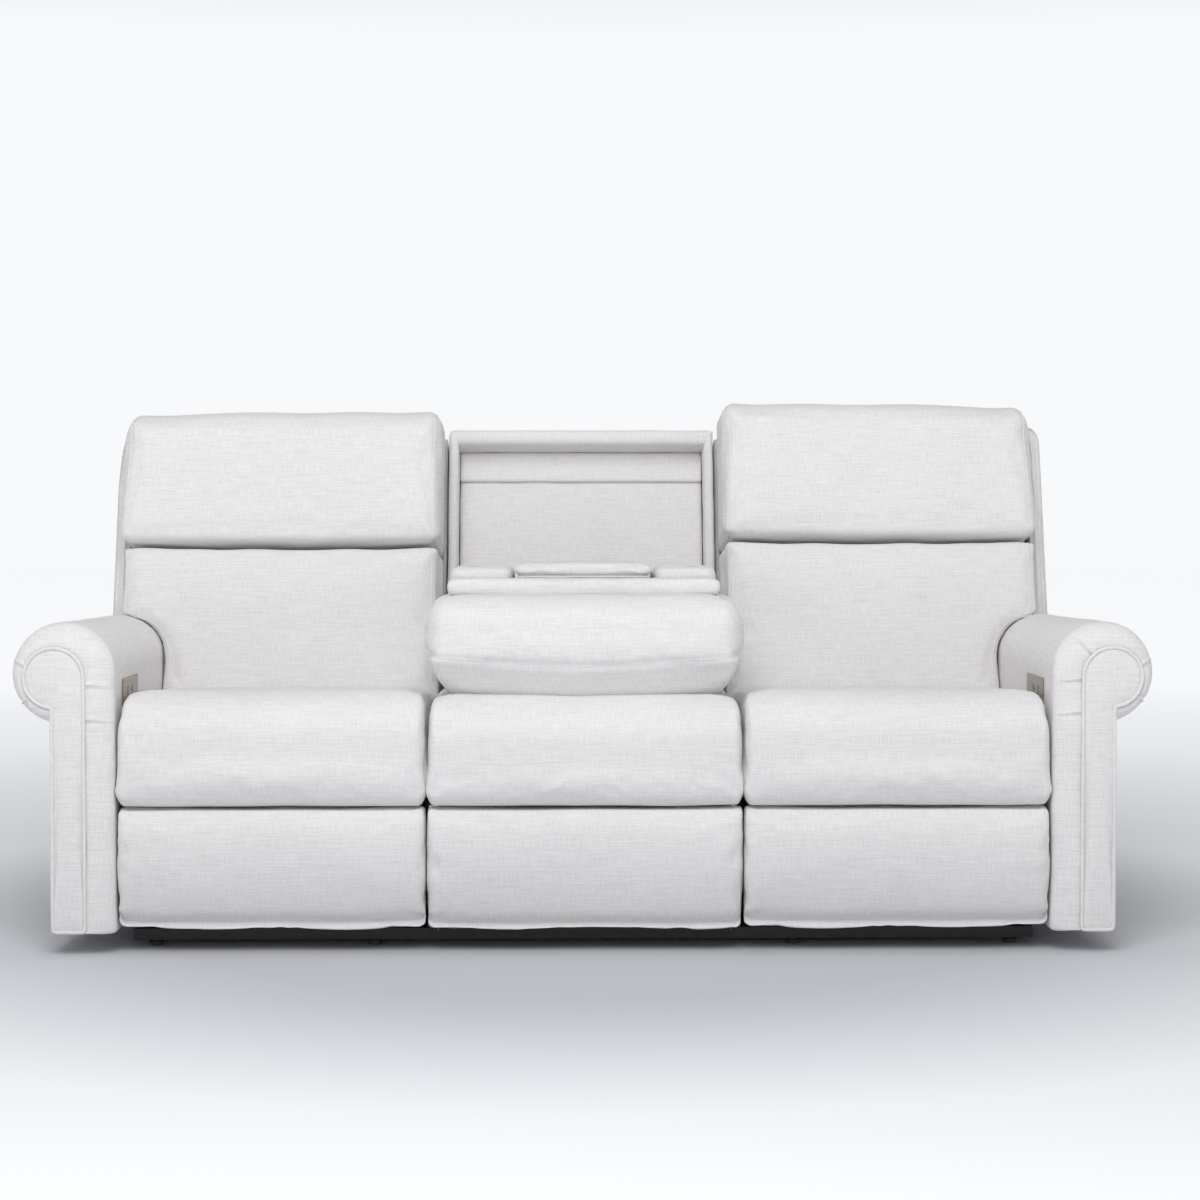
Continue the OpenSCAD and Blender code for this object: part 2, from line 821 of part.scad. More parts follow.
// Covered tray of the console with pockets for the cups and the bin
module console_board() {
    color(fabric) {
        difference() {
            union() {
                span([-tray_half, tray_front, tray_low], [tray_half, tray_rear, tray_top - lip_t]);
                span([-pads_half, lip_front, tray_top - lip_t], [pads_half, tray_rear, tray_top]);
                span([-bin_half, tray_rear - upstand_t, tray_top], [bin_half, tray_rear, upstand_top]);
                for (x = [-knuckle_x, knuckle_x]) knuckle(x);
            }
            both_sides() translate([cup_x, cup_y, side_pad_z - cup_depth - cup_wall - seat_fit])
                cylinder(h = cup_depth + over, r = cup_out + seat_fit);
            span([-bin_half - seat_fit, bin_front - seat_fit, bin_low - seat_fit],
                 [bin_half + seat_fit, bin_rear + seat_fit, lid_z]);
            cross_pin(-pads_half, pads_half, lid_hinge_y, lid_hinge_z, hinge_rod_r + pin_fit);
        }
    }
}

// Ear that holds the lid's hinge rod
module knuckle(x) {
    cross_pin(x - knuckle_w / 2, x + knuckle_w / 2, lid_hinge_y, lid_hinge_z, knuckle_r);
    span([x - knuckle_w / 2, tray_rear - knuckle_r, tray_top],
         [x + knuckle_w / 2, lid_hinge_y + knuckle_r, lid_hinge_z]);
}

// Cushion under the tray, with a rear end rounded about the hinge
module console_lower_cushion() {
    round_z = hinge_z - roll_end_r;
    color(fabric) {
        difference() {
            union() {
                span([-lower_half, tray_front, round_z], [lower_half, hinge_y, tray_low - seat_fit]);
                cross_pin(-lower_half, lower_half, hinge_y, hinge_z, roll_end_r);
            }
            span([-tray_half - over, tray_front - over, tray_low - seat_fit],
                 [tray_half + over, tray_rear + run_gap, lid_z]);
        }
    }
}

// Large head cushion at the console's free end
module console_head_cushion() {
    color(fabric)
        cushion([-centre_half, console_front, under_z], [centre_half, head_rear, head_top], big_rings);
}

// Long low pad in front of the lid
module console_front_pad() {
    color(fabric)
        cushion([-pads_half - 4 * seat_fit, lip_front, tray_top + seat_fit],
                [pads_half + 4 * seat_fit, tray_front, front_pad_z]);
}

// Padded sides of the console with a cup holder in each
module console_side_pads() {
    inner_x = lid_w / 2 + lid_room;
    color(fabric) both_sides() difference() {
        cushion([inner_x, tray_front + lid_room, tray_top + seat_fit],
                [pads_half, tray_rear, side_pad_z], tiny_rings);
        translate([cup_x, cup_y, tray_low]) cylinder(h = lid_z - tray_low, r = cup_out + seat_fit);
    }
}

// Cup holders: open tubes with a bottom and a thin lip
module cup_holders() {
    bottom = side_pad_z - cup_depth - cup_wall;
    color(plastic) both_sides() translate([cup_x, cup_y, bottom]) difference() {
        union() {
            cylinder(h = cup_depth + cup_wall + seat_fit, r = cup_out);
            translate([0, 0, cup_depth + cup_wall + seat_fit])
                cylinder(h = cup_lip, r = cup_out + 2 * cup_wall);
        }
        translate([0, 0, cup_wall]) cylinder(h = cup_depth + over, r = cup_r);
    }
}

// Storage bin under the lid
module storage_bin() {
    color(plastic) difference() {
        span([-bin_half, bin_front, bin_low], [bin_half, bin_rear, lid_low - 4 * seat_fit]);
        span([-bin_half + cup_wall, bin_front + cup_wall, bin_low + cup_wall],
             [bin_half - cup_wall, bin_rear - cup_wall, lid_low + over]);
    }
}

// Steel arms that carry the console on its hinge
module console_arms() {
    hinge = [hinge_y, hinge_z];
    tip = [console_arm_y, console_arm_z];
    color(zinc) both_sides()
        flat_bar(arm_plate_x, arm_plate_end, hinge, tip, 2 * console_boss, hinge_pin_r + pin_fit);
}

// Padded lid of the storage bin on its board
module console_lid() {
    half = lid_w / 2;
    color(fabric) {
        cushion([-half, tray_front + lid_room, lid_low + lid_board + seat_fit],
                [half, tray_rear - 2 * lid_room, lid_z]);
        span([-half + lid_board, tray_front + lid_board, lid_low],
             [half - lid_board, tray_rear - 2 * lid_room, lid_low + lid_board]);
    }
}

// Hinge rod with two straps under the lid board
module lid_hinge() {
    rod_half = knuckle_x + knuckle_w;
    color(zinc) {
        cross_pin(-rod_half, rod_half, lid_hinge_y, lid_hinge_z, hinge_rod_r);
        for (x = [-strap_x, strap_x])
            span([x - strap_w / 2, lid_hinge_y - strap_len, lid_hinge_z - strap_t - seat_fit],
                 [x + strap_w / 2, lid_hinge_y, lid_hinge_z - seat_fit]);
    }
}

// Side seat cushion
module seat_cushion() {
    color(fabric)
        cushion([seat_in, seat_front, seat_low + seat_fit], [seat_out, seat_rear, seat_top],
                big_rings, seat_fall, 0, nose_share);
}

// Steel frame under a side seat: two sides with shoes, link pins and recline pins, and cross tubes
module seat_frame() {
    lip_z = track_z - shoe_lip;
    tube_half = side_near - seat_fit;
    color(steel) {
        unit_edges() difference() {
            union() {
                span([side_near, frame_front, side_z], [side_far, plate_front + frame_w, seat_low]);
                span([side_far - plate_t, plate_front, side_z], [side_far, plate_rear, pivot_z + frame_w]);
                cross_pin(side_far - plate_t, bracket_far + layer_gap, pivot_y, pivot_z, pivot_r);
                for (y = [link_a_y, link_b_y])
                    cross_pin(link_near - seat_fit, side_near + plate_t, y, link_a_z, pin_r);
                span([side_mid - track_w / 2 - seat_fit - shoe_wall, shoe_front, lip_z],
                     [side_mid + track_w / 2 + seat_fit + shoe_wall, shoe_front + shoe_len, side_z]);
            }
            span([side_mid - track_w / 2 - seat_fit, shoe_front - over, lip_z - over],
                 [side_mid + track_w / 2 + seat_fit, shoe_front + shoe_len + over, track_z + seat_fit]);
        }
        for (y = [tube_front_y, tube_rear_y])
            span([unit_mid - tube_half, y, tube_low], [unit_mid + tube_half, y + tube_w, tube_high]);
    }
}

// Sinuous wire springs across the frame
module seat_springs() {
    spring_front = frame_front;
    spring_len = tube_rear_y + tube_w - spring_front;
    step = 2 * (side_near - spring_amp - wire_t) / (spring_count - 1);
    color(zinc)
        for (k = [0 : spring_count - 1])
            translate([unit_mid + (k - (spring_count - 1) / 2) * step, spring_front, tube_high + seat_fit])
                linear_extrude(height = wire_t) wavy_wire(spring_len);
}

// Flat zigzag wire: one edge out, the other edge back
module wavy_wire(len) {
    function wave(i) = spring_amp * sin(360 * spring_waves * i / spring_steps);
    edge = [for (i = [0 : spring_steps]) [wave(i), len * i / spring_steps]];
    back = [for (i = [spring_steps : -1 : 0]) [wave(i) + wire_t, len * i / spring_steps]];
    polygon(concat(edge, back));
}

// Motor, gear housing and track tube of the power drive
module actuator() {
    color(steel) translate([unit_mid, 0, 0]) {
        span([-gear_w / 2, gear_front, gear_low], [gear_w / 2, gear_rear, tube_low - seat_fit]);
        translate([0, gear_rear - gear_d / 2, gear_low - motor_len]) cylinder(h = motor_len, r = motor_r);
        span([-drive_w / 2, tube_front_y - drive_travel / 2, drive_low],
             [drive_w / 2, gear_front, drive_low + drive_h]);
        span([-drive_w / 2, tube_front_y, drive_low + drive_h],
             [drive_w / 2, tube_front_y + tube_w, tube_low - seat_fit]);
    }
}

// Block that runs along the track tube
module drive_block() {
    front = block_rear - block_len;
    wide = drive_w / 2 + seat_fit;
    color(zinc) translate([unit_mid, 0, 0]) difference() {
        span([-wide - block_wall, front, drive_low - block_wall],
             [wide + block_wall, block_rear, drive_low + drive_h + seat_fit]);
        span([-wide, front - over, drive_low - seat_fit],
             [wide, block_rear + over, drive_low + drive_h + over]);
    }
}

// Link that hangs from the frame; fit is the clearance of its lower hole
module footrest_link(y, fit) {
    top = [y, link_a_z];
    low = [y + link_dy, link_a_z - link_dz];
    color(zinc) unit_edges()
        flat_bar(link_near, link_far, top, low, link_w, pin_r + pin_fit, pin_r + fit);
}

module front_links() footrest_link(link_a_y, pin_fit);
module rear_links() footrest_link(link_b_y, open_fit);

// Brackets that lift the footrest, joined by a torque tube
module riser_brackets() {
    low_z = link_a_z - link_dz;
    front = [link_a_y + link_dy, low_z];
    rear = [link_b_y + link_dy, low_z];
    top = [rest_pivot_y, rest_pivot_z];
    pin_end = link_far + layer_gap / 2;
    color(zinc) {
        unit_edges() {
            flat_bar(riser_near, riser_far, front, rear, link_w);
            flat_bar(riser_near, riser_far, front, top, link_w - layer_gap);
            cross_pin(riser_near, pin_end, front[0], front[1], pin_r);
            cross_pin(riser_near, pin_end, rear[0], rear[1], pin_r);
            cross_pin(lug_near - layer_gap / 2, riser_far, top[0], top[1], pin_r);
        }
        cross_pin(unit_mid - riser_near + seat_fit, unit_mid + riser_near - seat_fit,
                  rear[0], rear[1], torque_r);
    }
}

// Board behind the footrest pad with its hinge lugs
module footrest_board() {
    half = rest_board_half;
    color(timber) {
        translate([unit_mid, 0, 0])
            span([-half, rest_board_y, pad_low + board_t], [half, rest_board_back, pad_high]);
        unit_edges() difference() {
            union() {
                cross_pin(lug_near, lug_far, rest_pivot_y, rest_pivot_z, lug_r);
                span([lug_near, rest_board_back - board_t / 2, rest_pivot_z - lug_r],
                     [lug_far, rest_pivot_y, rest_pivot_z + lug_r]);
            }
            cross_pin(lug_near - over, lug_far + over, rest_pivot_y, rest_pivot_z, pin_r + pin_fit);
        }
    }
}

// Footrest pad
module footrest_pad() {
    color(fabric)
        standing_cushion([seat_in + pad_side, pad_front, pad_low], [seat_out - pad_side, pad_rear, pad_high]);
}

// Outer shell of a side back, made of panels, with a wing over the arm
module back_shell() {
    v1 = shell_back - shell_t;
    v0 = cushion_back + layer_gap;
    wing_in = back_out - wing_t;
    split = wing_u - seat_fit;
    color(fabric) leaning() {
        span([back_in, v1, wing_u], [back_out, shell_back, shell_top_u]);
        span([back_in, v1, shell_low_u], [seat_out, shell_back, split]);
        span([back_in, v0, shell_low_u], [back_in + shell_t, v1 - seat_fit, shell_top_u]);
        span([seat_out - shell_t, v0, shell_low_u], [seat_out, v1 - seat_fit, split]);
        span([wing_in, wing_front, wing_u], [back_out, v1 - seat_fit, shell_top_u]);
        span([seat_out + seat_fit, v0, wing_u], [wing_in - seat_fit, v1 - seat_fit, wing_u + shell_t]);
        span([back_in + shell_t + seat_fit, v0, shell_top_u - shell_t],
             [wing_in - seat_fit, v1 - seat_fit, shell_top_u]);
    }
}

// Frame inside a side back with the brackets of the recline pivot
module back_frame() {
    near = bracket_near - upright_w;
    v1 = frame_v + frame_vt;
    color(timber) leaning() {
        unit_edges() difference() {
            union() {
                span([near, frame_v, upright_low], [bracket_near, v1, upright_top]);
                cross_pin(bracket_near, bracket_far, pivot_v, pivot_u, pivot_boss);
                span([bracket_near, pivot_v, pivot_u - pivot_boss], [bracket_far, v1, pivot_u + pivot_boss]);
            }
            cross_pin(bracket_near - over, bracket_far + over, pivot_v, pivot_u, pivot_r + pin_fit);
        }
        for (share = rung_shares)
            translate([unit_mid, 0, upright_low + share * (upright_top - upright_low - rung_h)])
                span([-near + seat_fit, frame_v, 0], [near - seat_fit, v1, rung_h]);
    }
}

// Lumbar cushion, with an ear that reaches over the arm
module lumbar_cushion() {
    color(fabric) leaning()
        standing_cushion([seat_in, lumbar_front, lumbar_u], [seat_out, cushion_back, seam_u - seam_gap],
                         big_rings, ear_w);
}

// Head cushion
module head_cushion() {
    color(fabric) leaning()
        standing_cushion([seat_in, head_front, seam_u + seam_gap],
                         [seat_out + ear_w, cushion_back, head_u], big_rings);
}

module right_seat_cushion() seat_cushion();
module right_seat_frame() seat_frame();
module right_seat_springs() seat_springs();
module right_actuator() actuator();
module right_drive_block() drive_block();
module right_front_links() front_links();
module right_rear_links() rear_links();
module right_riser_brackets() riser_brackets();
module right_footrest_board() footrest_board();
module right_footrest_pad() footrest_pad();
module right_back_shell() back_shell();
module right_back_frame() back_frame();
module right_lumbar_cushion() lumbar_cushion();
module right_head_cushion() head_cushion();
module left_seat_cushion() left_side() seat_cushion();
module left_seat_frame() left_side() seat_frame();
module left_seat_springs() left_side() seat_springs();
module left_actuator() left_side() actuator();
module left_drive_block() left_side() drive_block();
module left_front_links() left_side() front_links();
module left_rear_links() left_side() rear_links();
module left_riser_brackets() left_side() riser_brackets();
module left_footrest_board() left_side() footrest_board();
module left_footrest_pad() left_side() footrest_pad();
module left_back_shell() left_side() back_shell();
module left_back_frame() left_side() back_frame();
module left_lumbar_cushion() left_side() lumbar_cushion();
module left_head_cushion() left_side() head_cushion();

base_rails();
feet();
left_arm_cover();
right_arm_cover();
arm_frames();
arm_front_panels();
arm_piping();
control_plates();
recliner_tracks();
rear_valance();
centre_seat_cushion();
centre_seat_frame();
centre_front_panel();
well_rim();
well_panel();
well_rail();
centre_back_shell();
console_pivots();
console_board();
console_lower_cushion();
console_head_cushion();
console_front_pad();
console_side_pads();
cup_holders();
storage_bin();
console_arms();
console_lid();
lid_hinge();
left_seat_cushion();
left_seat_frame();
left_seat_springs();
left_actuator();
left_drive_block();
left_front_links();
left_rear_links();
left_riser_brackets();
left_footrest_board();
left_footrest_pad();
left_back_shell();
left_back_frame();
left_lumbar_cushion();
left_head_cushion();
left_button_open();
left_button_close();
right_seat_cushion();
right_seat_frame();
right_seat_springs();
right_actuator();
right_drive_block();
right_front_links();
right_rear_links();
right_riser_brackets();
right_footrest_board();
right_footrest_pad();
right_back_shell();
right_back_frame();
right_lumbar_cushion();
right_head_cushion();
right_button_open();
right_button_close();
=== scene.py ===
# %% [markdown]
# # A reclining sofa with a drop-down console, dressed for its picture
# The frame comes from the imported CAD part. This script only adds the looks: the padded
# cushions, the rolled arms, the stitched covers and the materials.

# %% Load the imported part
import json
import math

import bpy
import numpy as np
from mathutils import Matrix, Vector


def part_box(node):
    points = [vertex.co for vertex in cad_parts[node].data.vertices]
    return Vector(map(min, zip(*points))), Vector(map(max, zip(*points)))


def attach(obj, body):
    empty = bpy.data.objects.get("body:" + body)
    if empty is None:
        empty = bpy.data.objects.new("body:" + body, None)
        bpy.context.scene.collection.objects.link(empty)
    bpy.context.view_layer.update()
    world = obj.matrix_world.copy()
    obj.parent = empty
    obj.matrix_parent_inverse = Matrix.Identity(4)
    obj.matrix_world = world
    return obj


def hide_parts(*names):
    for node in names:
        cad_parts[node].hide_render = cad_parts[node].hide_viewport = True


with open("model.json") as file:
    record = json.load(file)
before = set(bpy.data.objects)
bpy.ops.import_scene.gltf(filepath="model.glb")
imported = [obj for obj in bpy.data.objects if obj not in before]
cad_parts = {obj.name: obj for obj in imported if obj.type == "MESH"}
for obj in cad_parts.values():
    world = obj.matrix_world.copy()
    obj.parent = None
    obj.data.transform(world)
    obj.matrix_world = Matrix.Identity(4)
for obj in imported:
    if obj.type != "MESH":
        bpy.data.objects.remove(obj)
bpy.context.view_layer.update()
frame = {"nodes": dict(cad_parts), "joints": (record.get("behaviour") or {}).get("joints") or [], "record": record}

# %% [markdown]
# Everything below is written in millimetres, as the CAD part is, and turned to metres when
# a mesh is made. The backs lean about the console's hinge, so their pieces are drawn
# upright in a leaning frame: x across, v square to the back, u up along it.

# %% Units and the leaning frame
MM = 0.001
LEAN = math.radians(15)
console_fold = next(j for j in frame["joints"] if j["name"] == "console_fold")
HINGE = np.array(console_fold["pos_m"]) / MM


def cad(node):
    """Lowest and highest corner of a CAD node, in millimetres."""
    low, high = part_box(node)
    return np.array(low) / MM, np.array(high) / MM


def lean(p):
    """Points given as (x, v, u) in the leaning frame, turned to (x, y, z)."""
    x, v, u = p[..., 0], p[..., 1], p[..., 2]
    y = HINGE[1] + v * math.cos(LEAN) + u * math.sin(LEAN)
    z = HINGE[2] - v * math.sin(LEAN) + u * math.cos(LEAN)
    return np.stack([x, y, z], -1)


print("console hinge at", HINGE.round(1), "mm")

# %% [markdown]
# The picture is taken from the front, a little left of the middle, from below eye level
# and with a long lens. The lens and the place come from the lines that run to the rear:
# they meet left of and above the middle of the picture.

# %% Camera
LENS = 70.4
EYE = (-0.048, -4.95, 0.83)
PITCH_DOWN = 1.95
YAW_RIGHT = 0.98

camera = bpy.data.objects.new("camera", bpy.data.cameras.new("camera"))
camera.data.lens = LENS
camera.data.sensor_width = 36
camera.location = EYE
camera.rotation_euler = (math.radians(90 - PITCH_DOWN), 0, -math.radians(YAW_RIGHT))
bpy.context.collection.objects.link(camera)
bpy.context.scene.camera = camera
print("camera at", EYE)

# %% [markdown]
# The cover is a linen-look weave. Its threads run along two directions over every panel,
# so two streaky noises are stretched along them: long thin streaks are slubs, and very
# fine ones are single threads. The threads follow the object, not a map laid over it, so
# every piece, flat or puffed, gets the same cloth.


# %% Node helpers
def new_material(name):
    """An empty node material with its shader."""
    mat = bpy.data.materials.new(name)
    mat.use_nodes = True
    return mat, mat.node_tree, mat.node_tree.nodes["Principled BSDF"]


def maths(tree, operation, a, b=None):
    """One math node; a and b are numbers or sockets."""
    node = tree.nodes.new("ShaderNodeMath")
    node.operation = operation
    for socket, value in zip(node.inputs, (a, b)):
        if value is None:
            continue
        if isinstance(value, (int, float)):
            socket.default_value = value
        else:
            tree.links.new(value, socket)
    return node.outputs[0]


def noise(tree, vector, scale, detail=2.0, roughness=0.5):
    """A noise texture's value, about 0.5 in the middle."""
    node = tree.nodes.new("ShaderNodeTexNoise")
    node.inputs["Scale"].default_value = scale
    node.inputs["Detail"].default_value = detail
    node.inputs["Roughness"].default_value = roughness
    tree.links.new(vector, node.inputs["Vector"])
    return node.outputs["Fac"]


def stretched(tree, u, v, along, across):
    """Coordinates whose noise makes streaks along u."""
    node = tree.nodes.new("ShaderNodeCombineXYZ")
    tree.links.new(maths(tree, "MULTIPLY", u, along), node.inputs["X"])
    tree.links.new(maths(tree, "MULTIPLY", v, across), node.inputs["Y"])
    return node.outputs[0]


def ramp(tree, value, stops):
    """A colour ramp through (place, colour) stops."""
    node = tree.nodes.new("ShaderNodeValToRGB")
    element = node.color_ramp.elements
    while len(element) < len(stops):
        element.new(0.5)
    for e, (place, colour) in zip(element, stops):
        e.position = place
        e.color = (*colour, 1)
    tree.links.new(value, node.inputs["Fac"])
    return node.outputs["Color"]


def bump(tree, shader, height, strength, distance):
    """Turns a height into bumps of that depth in metres."""
    node = tree.nodes.new("ShaderNodeBump")
    node.inputs["Strength"].default_value = strength
    node.inputs["Distance"].default_value = distance
    tree.links.new(height, node.inputs["Height"])
    tree.links.new(node.outputs["Normal"], shader.inputs["Normal"])


# %% Linen cover
def linen(name, pale, dark, along="X", around="Y"):
    """Woven cover between two thread colours, for pieces that roll round one axis."""
    mat, tree, shader = new_material(name)
    place = tree.nodes.new("ShaderNodeTexCoord")
    xyz = tree.nodes.new("ShaderNodeSeparateXYZ")
    normal = tree.nodes.new("ShaderNodeSeparateXYZ")
    tree.links.new(place.outputs["Object"], xyz.inputs[0])
    tree.links.new(place.outputs["Normal"], normal.inputs[0])
    # the cloth goes round: its run adds up on one side and turns back on the other
    turned = maths(tree, "MULTIPLY", normal.outputs[around], normal.outputs["Z"])
    turned = maths(tree, "GREATER_THAN", turned, 0.2)
    way = maths(tree, "SUBTRACT", 1.0, maths(tree, "MULTIPLY", turned, 2.0))
    run = maths(tree, "ADD", xyz.outputs["Z"], maths(tree, "MULTIPLY", xyz.outputs[around], way))
    # end faces take their threads along the other two axes
    end = maths(tree, "GREATER_THAN", maths(tree, "ABSOLUTE", normal.outputs[along]), 0.75)
    body = maths(tree, "SUBTRACT", 1.0, end)
    u = maths(tree, "ADD", maths(tree, "MULTIPLY", xyz.outputs[along], body),
              maths(tree, "MULTIPLY", xyz.outputs[around], end))
    v = maths(tree, "ADD", maths(tree, "MULTIPLY", run, body),
              maths(tree, "MULTIPLY", xyz.outputs["Z"], end))
    weft = noise(tree, stretched(tree, u, v, 24, 400), 1.0)
    warp = noise(tree, stretched(tree, u, v, 400, 30), 1.0)
    slub = noise(tree, stretched(tree, u, v, 9, 230), 1.0, 1.0)
    weave = maths(tree, "ADD", maths(tree, "MULTIPLY", weft, 0.42), maths(tree, "MULTIPLY", warp, 0.36))
    weave = maths(tree, "ADD", weave, maths(tree, "MULTIPLY", slub, 0.22))
    soft = noise(tree, place.outputs["Object"], 3.5, 3.0)
    tone = maths(tree, "ADD", maths(tree, "MULTIPLY", weave, 0.9), maths(tree, "MULTIPLY", soft, 0.1))
    tree.links.new(ramp(tree, tone, [(0.38, dark), (0.58, pale)]), shader.inputs["Base Color"])
    bump(tree, shader, weave, 0.3, 0.0009)
    shader.inputs["Roughness"].default_value = 0.92
    shader.inputs["Specular IOR Level"].default_value = 0.25
    shader.inputs["Sheen Weight"].default_value = 0.15
    shader.inputs["Sheen Roughness"].default_value = 0.6
    return mat


PALE, DARK = (0.80, 0.783, 0.78), (0.685, 0.668, 0.665)
LINEN = linen("linen", PALE, DARK)
ARM_LINEN = linen("arm_linen", PALE, DARK, "Y", "X")
print("linen has", len(LINEN.node_tree.nodes), "nodes")

# %% [markdown]
# The hidden parts get honest finishes too: black paint on the rails, zinc on the links,
# brushed metal on the switch plates, wood grain on the boards and grained plastic.


# %% Other finishes
def grained(name, pale, dark, metallic, rough, scale, depth):
    """A finish that varies along stretched grain: scale is (x, y, z) per metre."""
    mat, tree, shader = new_material(name)
    place = tree.nodes.new("ShaderNodeTexCoord")
    mapping = tree.nodes.new("ShaderNodeMapping")
    mapping.inputs["Scale"].default_value = scale
    tree.links.new(place.outputs["Object"], mapping.inputs["Vector"])
    grain = noise(tree, mapping.outputs[0], 1.0, 4.0, 0.6)
    tree.links.new(ramp(tree, grain, [(0.35, dark), (0.65, pale)]), shader.inputs["Base Color"])
    spread = maths(tree, "MULTIPLY", grain, 0.3)
    tree.links.new(maths(tree, "ADD", spread, rough - 0.15), shader.inputs["Roughness"])
    bump(tree, shader, grain, 0.3, depth)
    shader.inputs["Metallic"].default_value = metallic
    return mat


BLACK = grained("black_paint", (0.022, 0.022, 0.024), (0.012, 0.012, 0.013), 0.0, 0.45,
                (60, 60, 60), 0.0003)
ZINC = grained("zinc", (0.55, 0.56, 0.58), (0.40, 0.41, 0.43), 1.0, 0.38, (25, 25, 25), 0.0002)
SWITCH = grained("switch_metal", (0.42, 0.37, 0.32), (0.30, 0.265, 0.23), 1.0, 0.36,
                 (30, 30, 900), 0.0002)
WOOD = grained("wood", (0.62, 0.44, 0.26), (0.42, 0.27, 0.14), 0.0, 0.6, (4, 60, 60), 0.0004)
PLASTIC = grained("plastic", (0.035, 0.035, 0.038), (0.02, 0.02, 0.022), 0.0, 0.5,
                  (900, 900, 900), 0.0002)
FINISH = {
    "upholstery": LINEN, "black_steel": BLACK, "zinc_plate": ZINC, "spring_wire": ZINC,
    "switch_metal": SWITCH, "button_metal": SWITCH, "timber": WOOD, "black_plastic": PLASTIC,
}
for sub in frame["record"]["subparts"]:
    obj = frame["nodes"][sub["node"]]
    for material_slot in obj.material_slots:
        material_slot.material = FINISH[sub["material_slot"]]
print("finishes on", len(frame["nodes"]), "CAD nodes")

# %% [markdown]
# Meshes are grown from a few generators. The first is a box of small quads whose points
# lie between -1 and 1. A cushion is that box with its edges rounded by its own radius
# along each axis, its faces crowned, and its sides drawn in.


# %% Mesh generators
def box_grid(low, high, cell):
    """Unit points of a box's surface and their quads, in cells of about that size."""
    count = np.maximum(np.round((high - low) / cell).astype(int), 2)
    points, quads, base = [], [], 0
    for axis in range(3):
        a, b = (axis + 1) % 3, (axis + 2) % 3
        for side in (-1, 1):
            i, j = np.meshgrid(np.arange(count[a] + 1), np.arange(count[b] + 1), indexing="ij")
            p = np.empty(i.shape + (3,))
            p[..., axis] = side
            p[..., a] = 2 * i / count[a] - 1
            p[..., b] = 2 * j / count[b] - 1
            n = base + np.arange(i.size).reshape(i.shape)
            q = np.stack([n[:-1, :-1], n[1:, :-1], n[1:, 1:], n[:-1, 1:]], -1).reshape(-1, 4)
            points.append(p.reshape(-1, 3))
            quads.append(q if side > 0 else q[:, ::-1])
            base += i.size
    _, first, back = np.unique(np.round(np.concatenate(points), 6), axis=0,
                               return_index=True, return_inverse=True)
    return np.concatenate(points)[first], back.reshape(-1)[np.concatenate(quads)]


def grid_faces(rows, columns, closed=False):
    """Quads of a grid of rings: the columns close round, and the rows too if closed."""
    k, i = np.meshgrid(np.arange(rows if closed else rows - 1), np.arange(columns), indexing="ij")
    m, j = (k + 1) % rows, (i + 1) % columns
    quads = np.stack([k * columns + i, k * columns + j, m * columns + j, m * columns + i], -1)
    return quads.reshape(-1, 4)


def rounded(unit, half, radius, squareness=2.0):
    """Unit box points on a box whose edges are rounded by radius (x, y, z)."""
    radius = np.minimum(np.broadcast_to(np.asarray(radius, float), unit.shape), half)
    q = unit * half
    core = np.clip(q, -(half - radius), half - radius)
    d = (q - core) / radius
    length = (np.abs(d) ** squareness).sum(-1) ** (1 / squareness)
    return core + radius * d / np.maximum(length, 1e-9)[:, None]


def ease(t):
    t = np.clip(t, 0, 1)
    return t * t * (3 - 2 * t)


def ripple(p, size, seed):
    """Smooth waves of about that size over points, between about -1 and 1."""
    rng = np.random.default_rng(seed)
    total = np.zeros(len(p))
    for _ in range(9):
        d = rng.normal(size=3)
        d *= 2 * np.pi / (size * rng.uniform(0.7, 1.6) * np.linalg.norm(d))
        total += np.sin(p @ d + rng.uniform(0, 2 * np.pi))
    return total / 4


def vertex_normals(p, quads):
    """Unit normals of a quad mesh's points."""
    face = np.cross(p[quads[:, 2]] - p[quads[:, 0]], p[quads[:, 3]] - p[quads[:, 1]])
    n = np.zeros_like(p)
    for k in range(4):
        np.add.at(n, quads[:, k], face)
    return n / np.maximum(np.linalg.norm(n, axis=1), 1e-12)[:, None]


def make(name, parts, body, nodes=(), material=None, subdivide=0):
    """One object from (points, quads) parts, riding on a body and standing for CAD nodes."""
    points, faces, base = [], [], 0
    for p, q in parts:
        points.append(p)
        faces += [[int(i) + base for i in face] for face in q]
        base += len(p)
    mesh = bpy.data.meshes.new(name)
    mesh.from_pydata((np.concatenate(points) * MM).tolist(), [], faces)
    mesh.shade_smooth()
    obj = bpy.data.objects.new(name, mesh)
    bpy.context.collection.objects.link(obj)
    mesh.materials.append(material or LINEN)
    if subdivide:
        obj.modifiers.new("fine", "SUBSURF").levels = subdivide
        obj.modifiers["fine"].render_levels = subdivide
    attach(obj, body)
    if nodes:
        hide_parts(*nodes)
    return obj


def flipped(parts):
    """The mirror twin of parts, for the left side."""
    return [(p * np.array([-1, 1, 1]), [face[::-1] for face in q]) for p, q in parts]


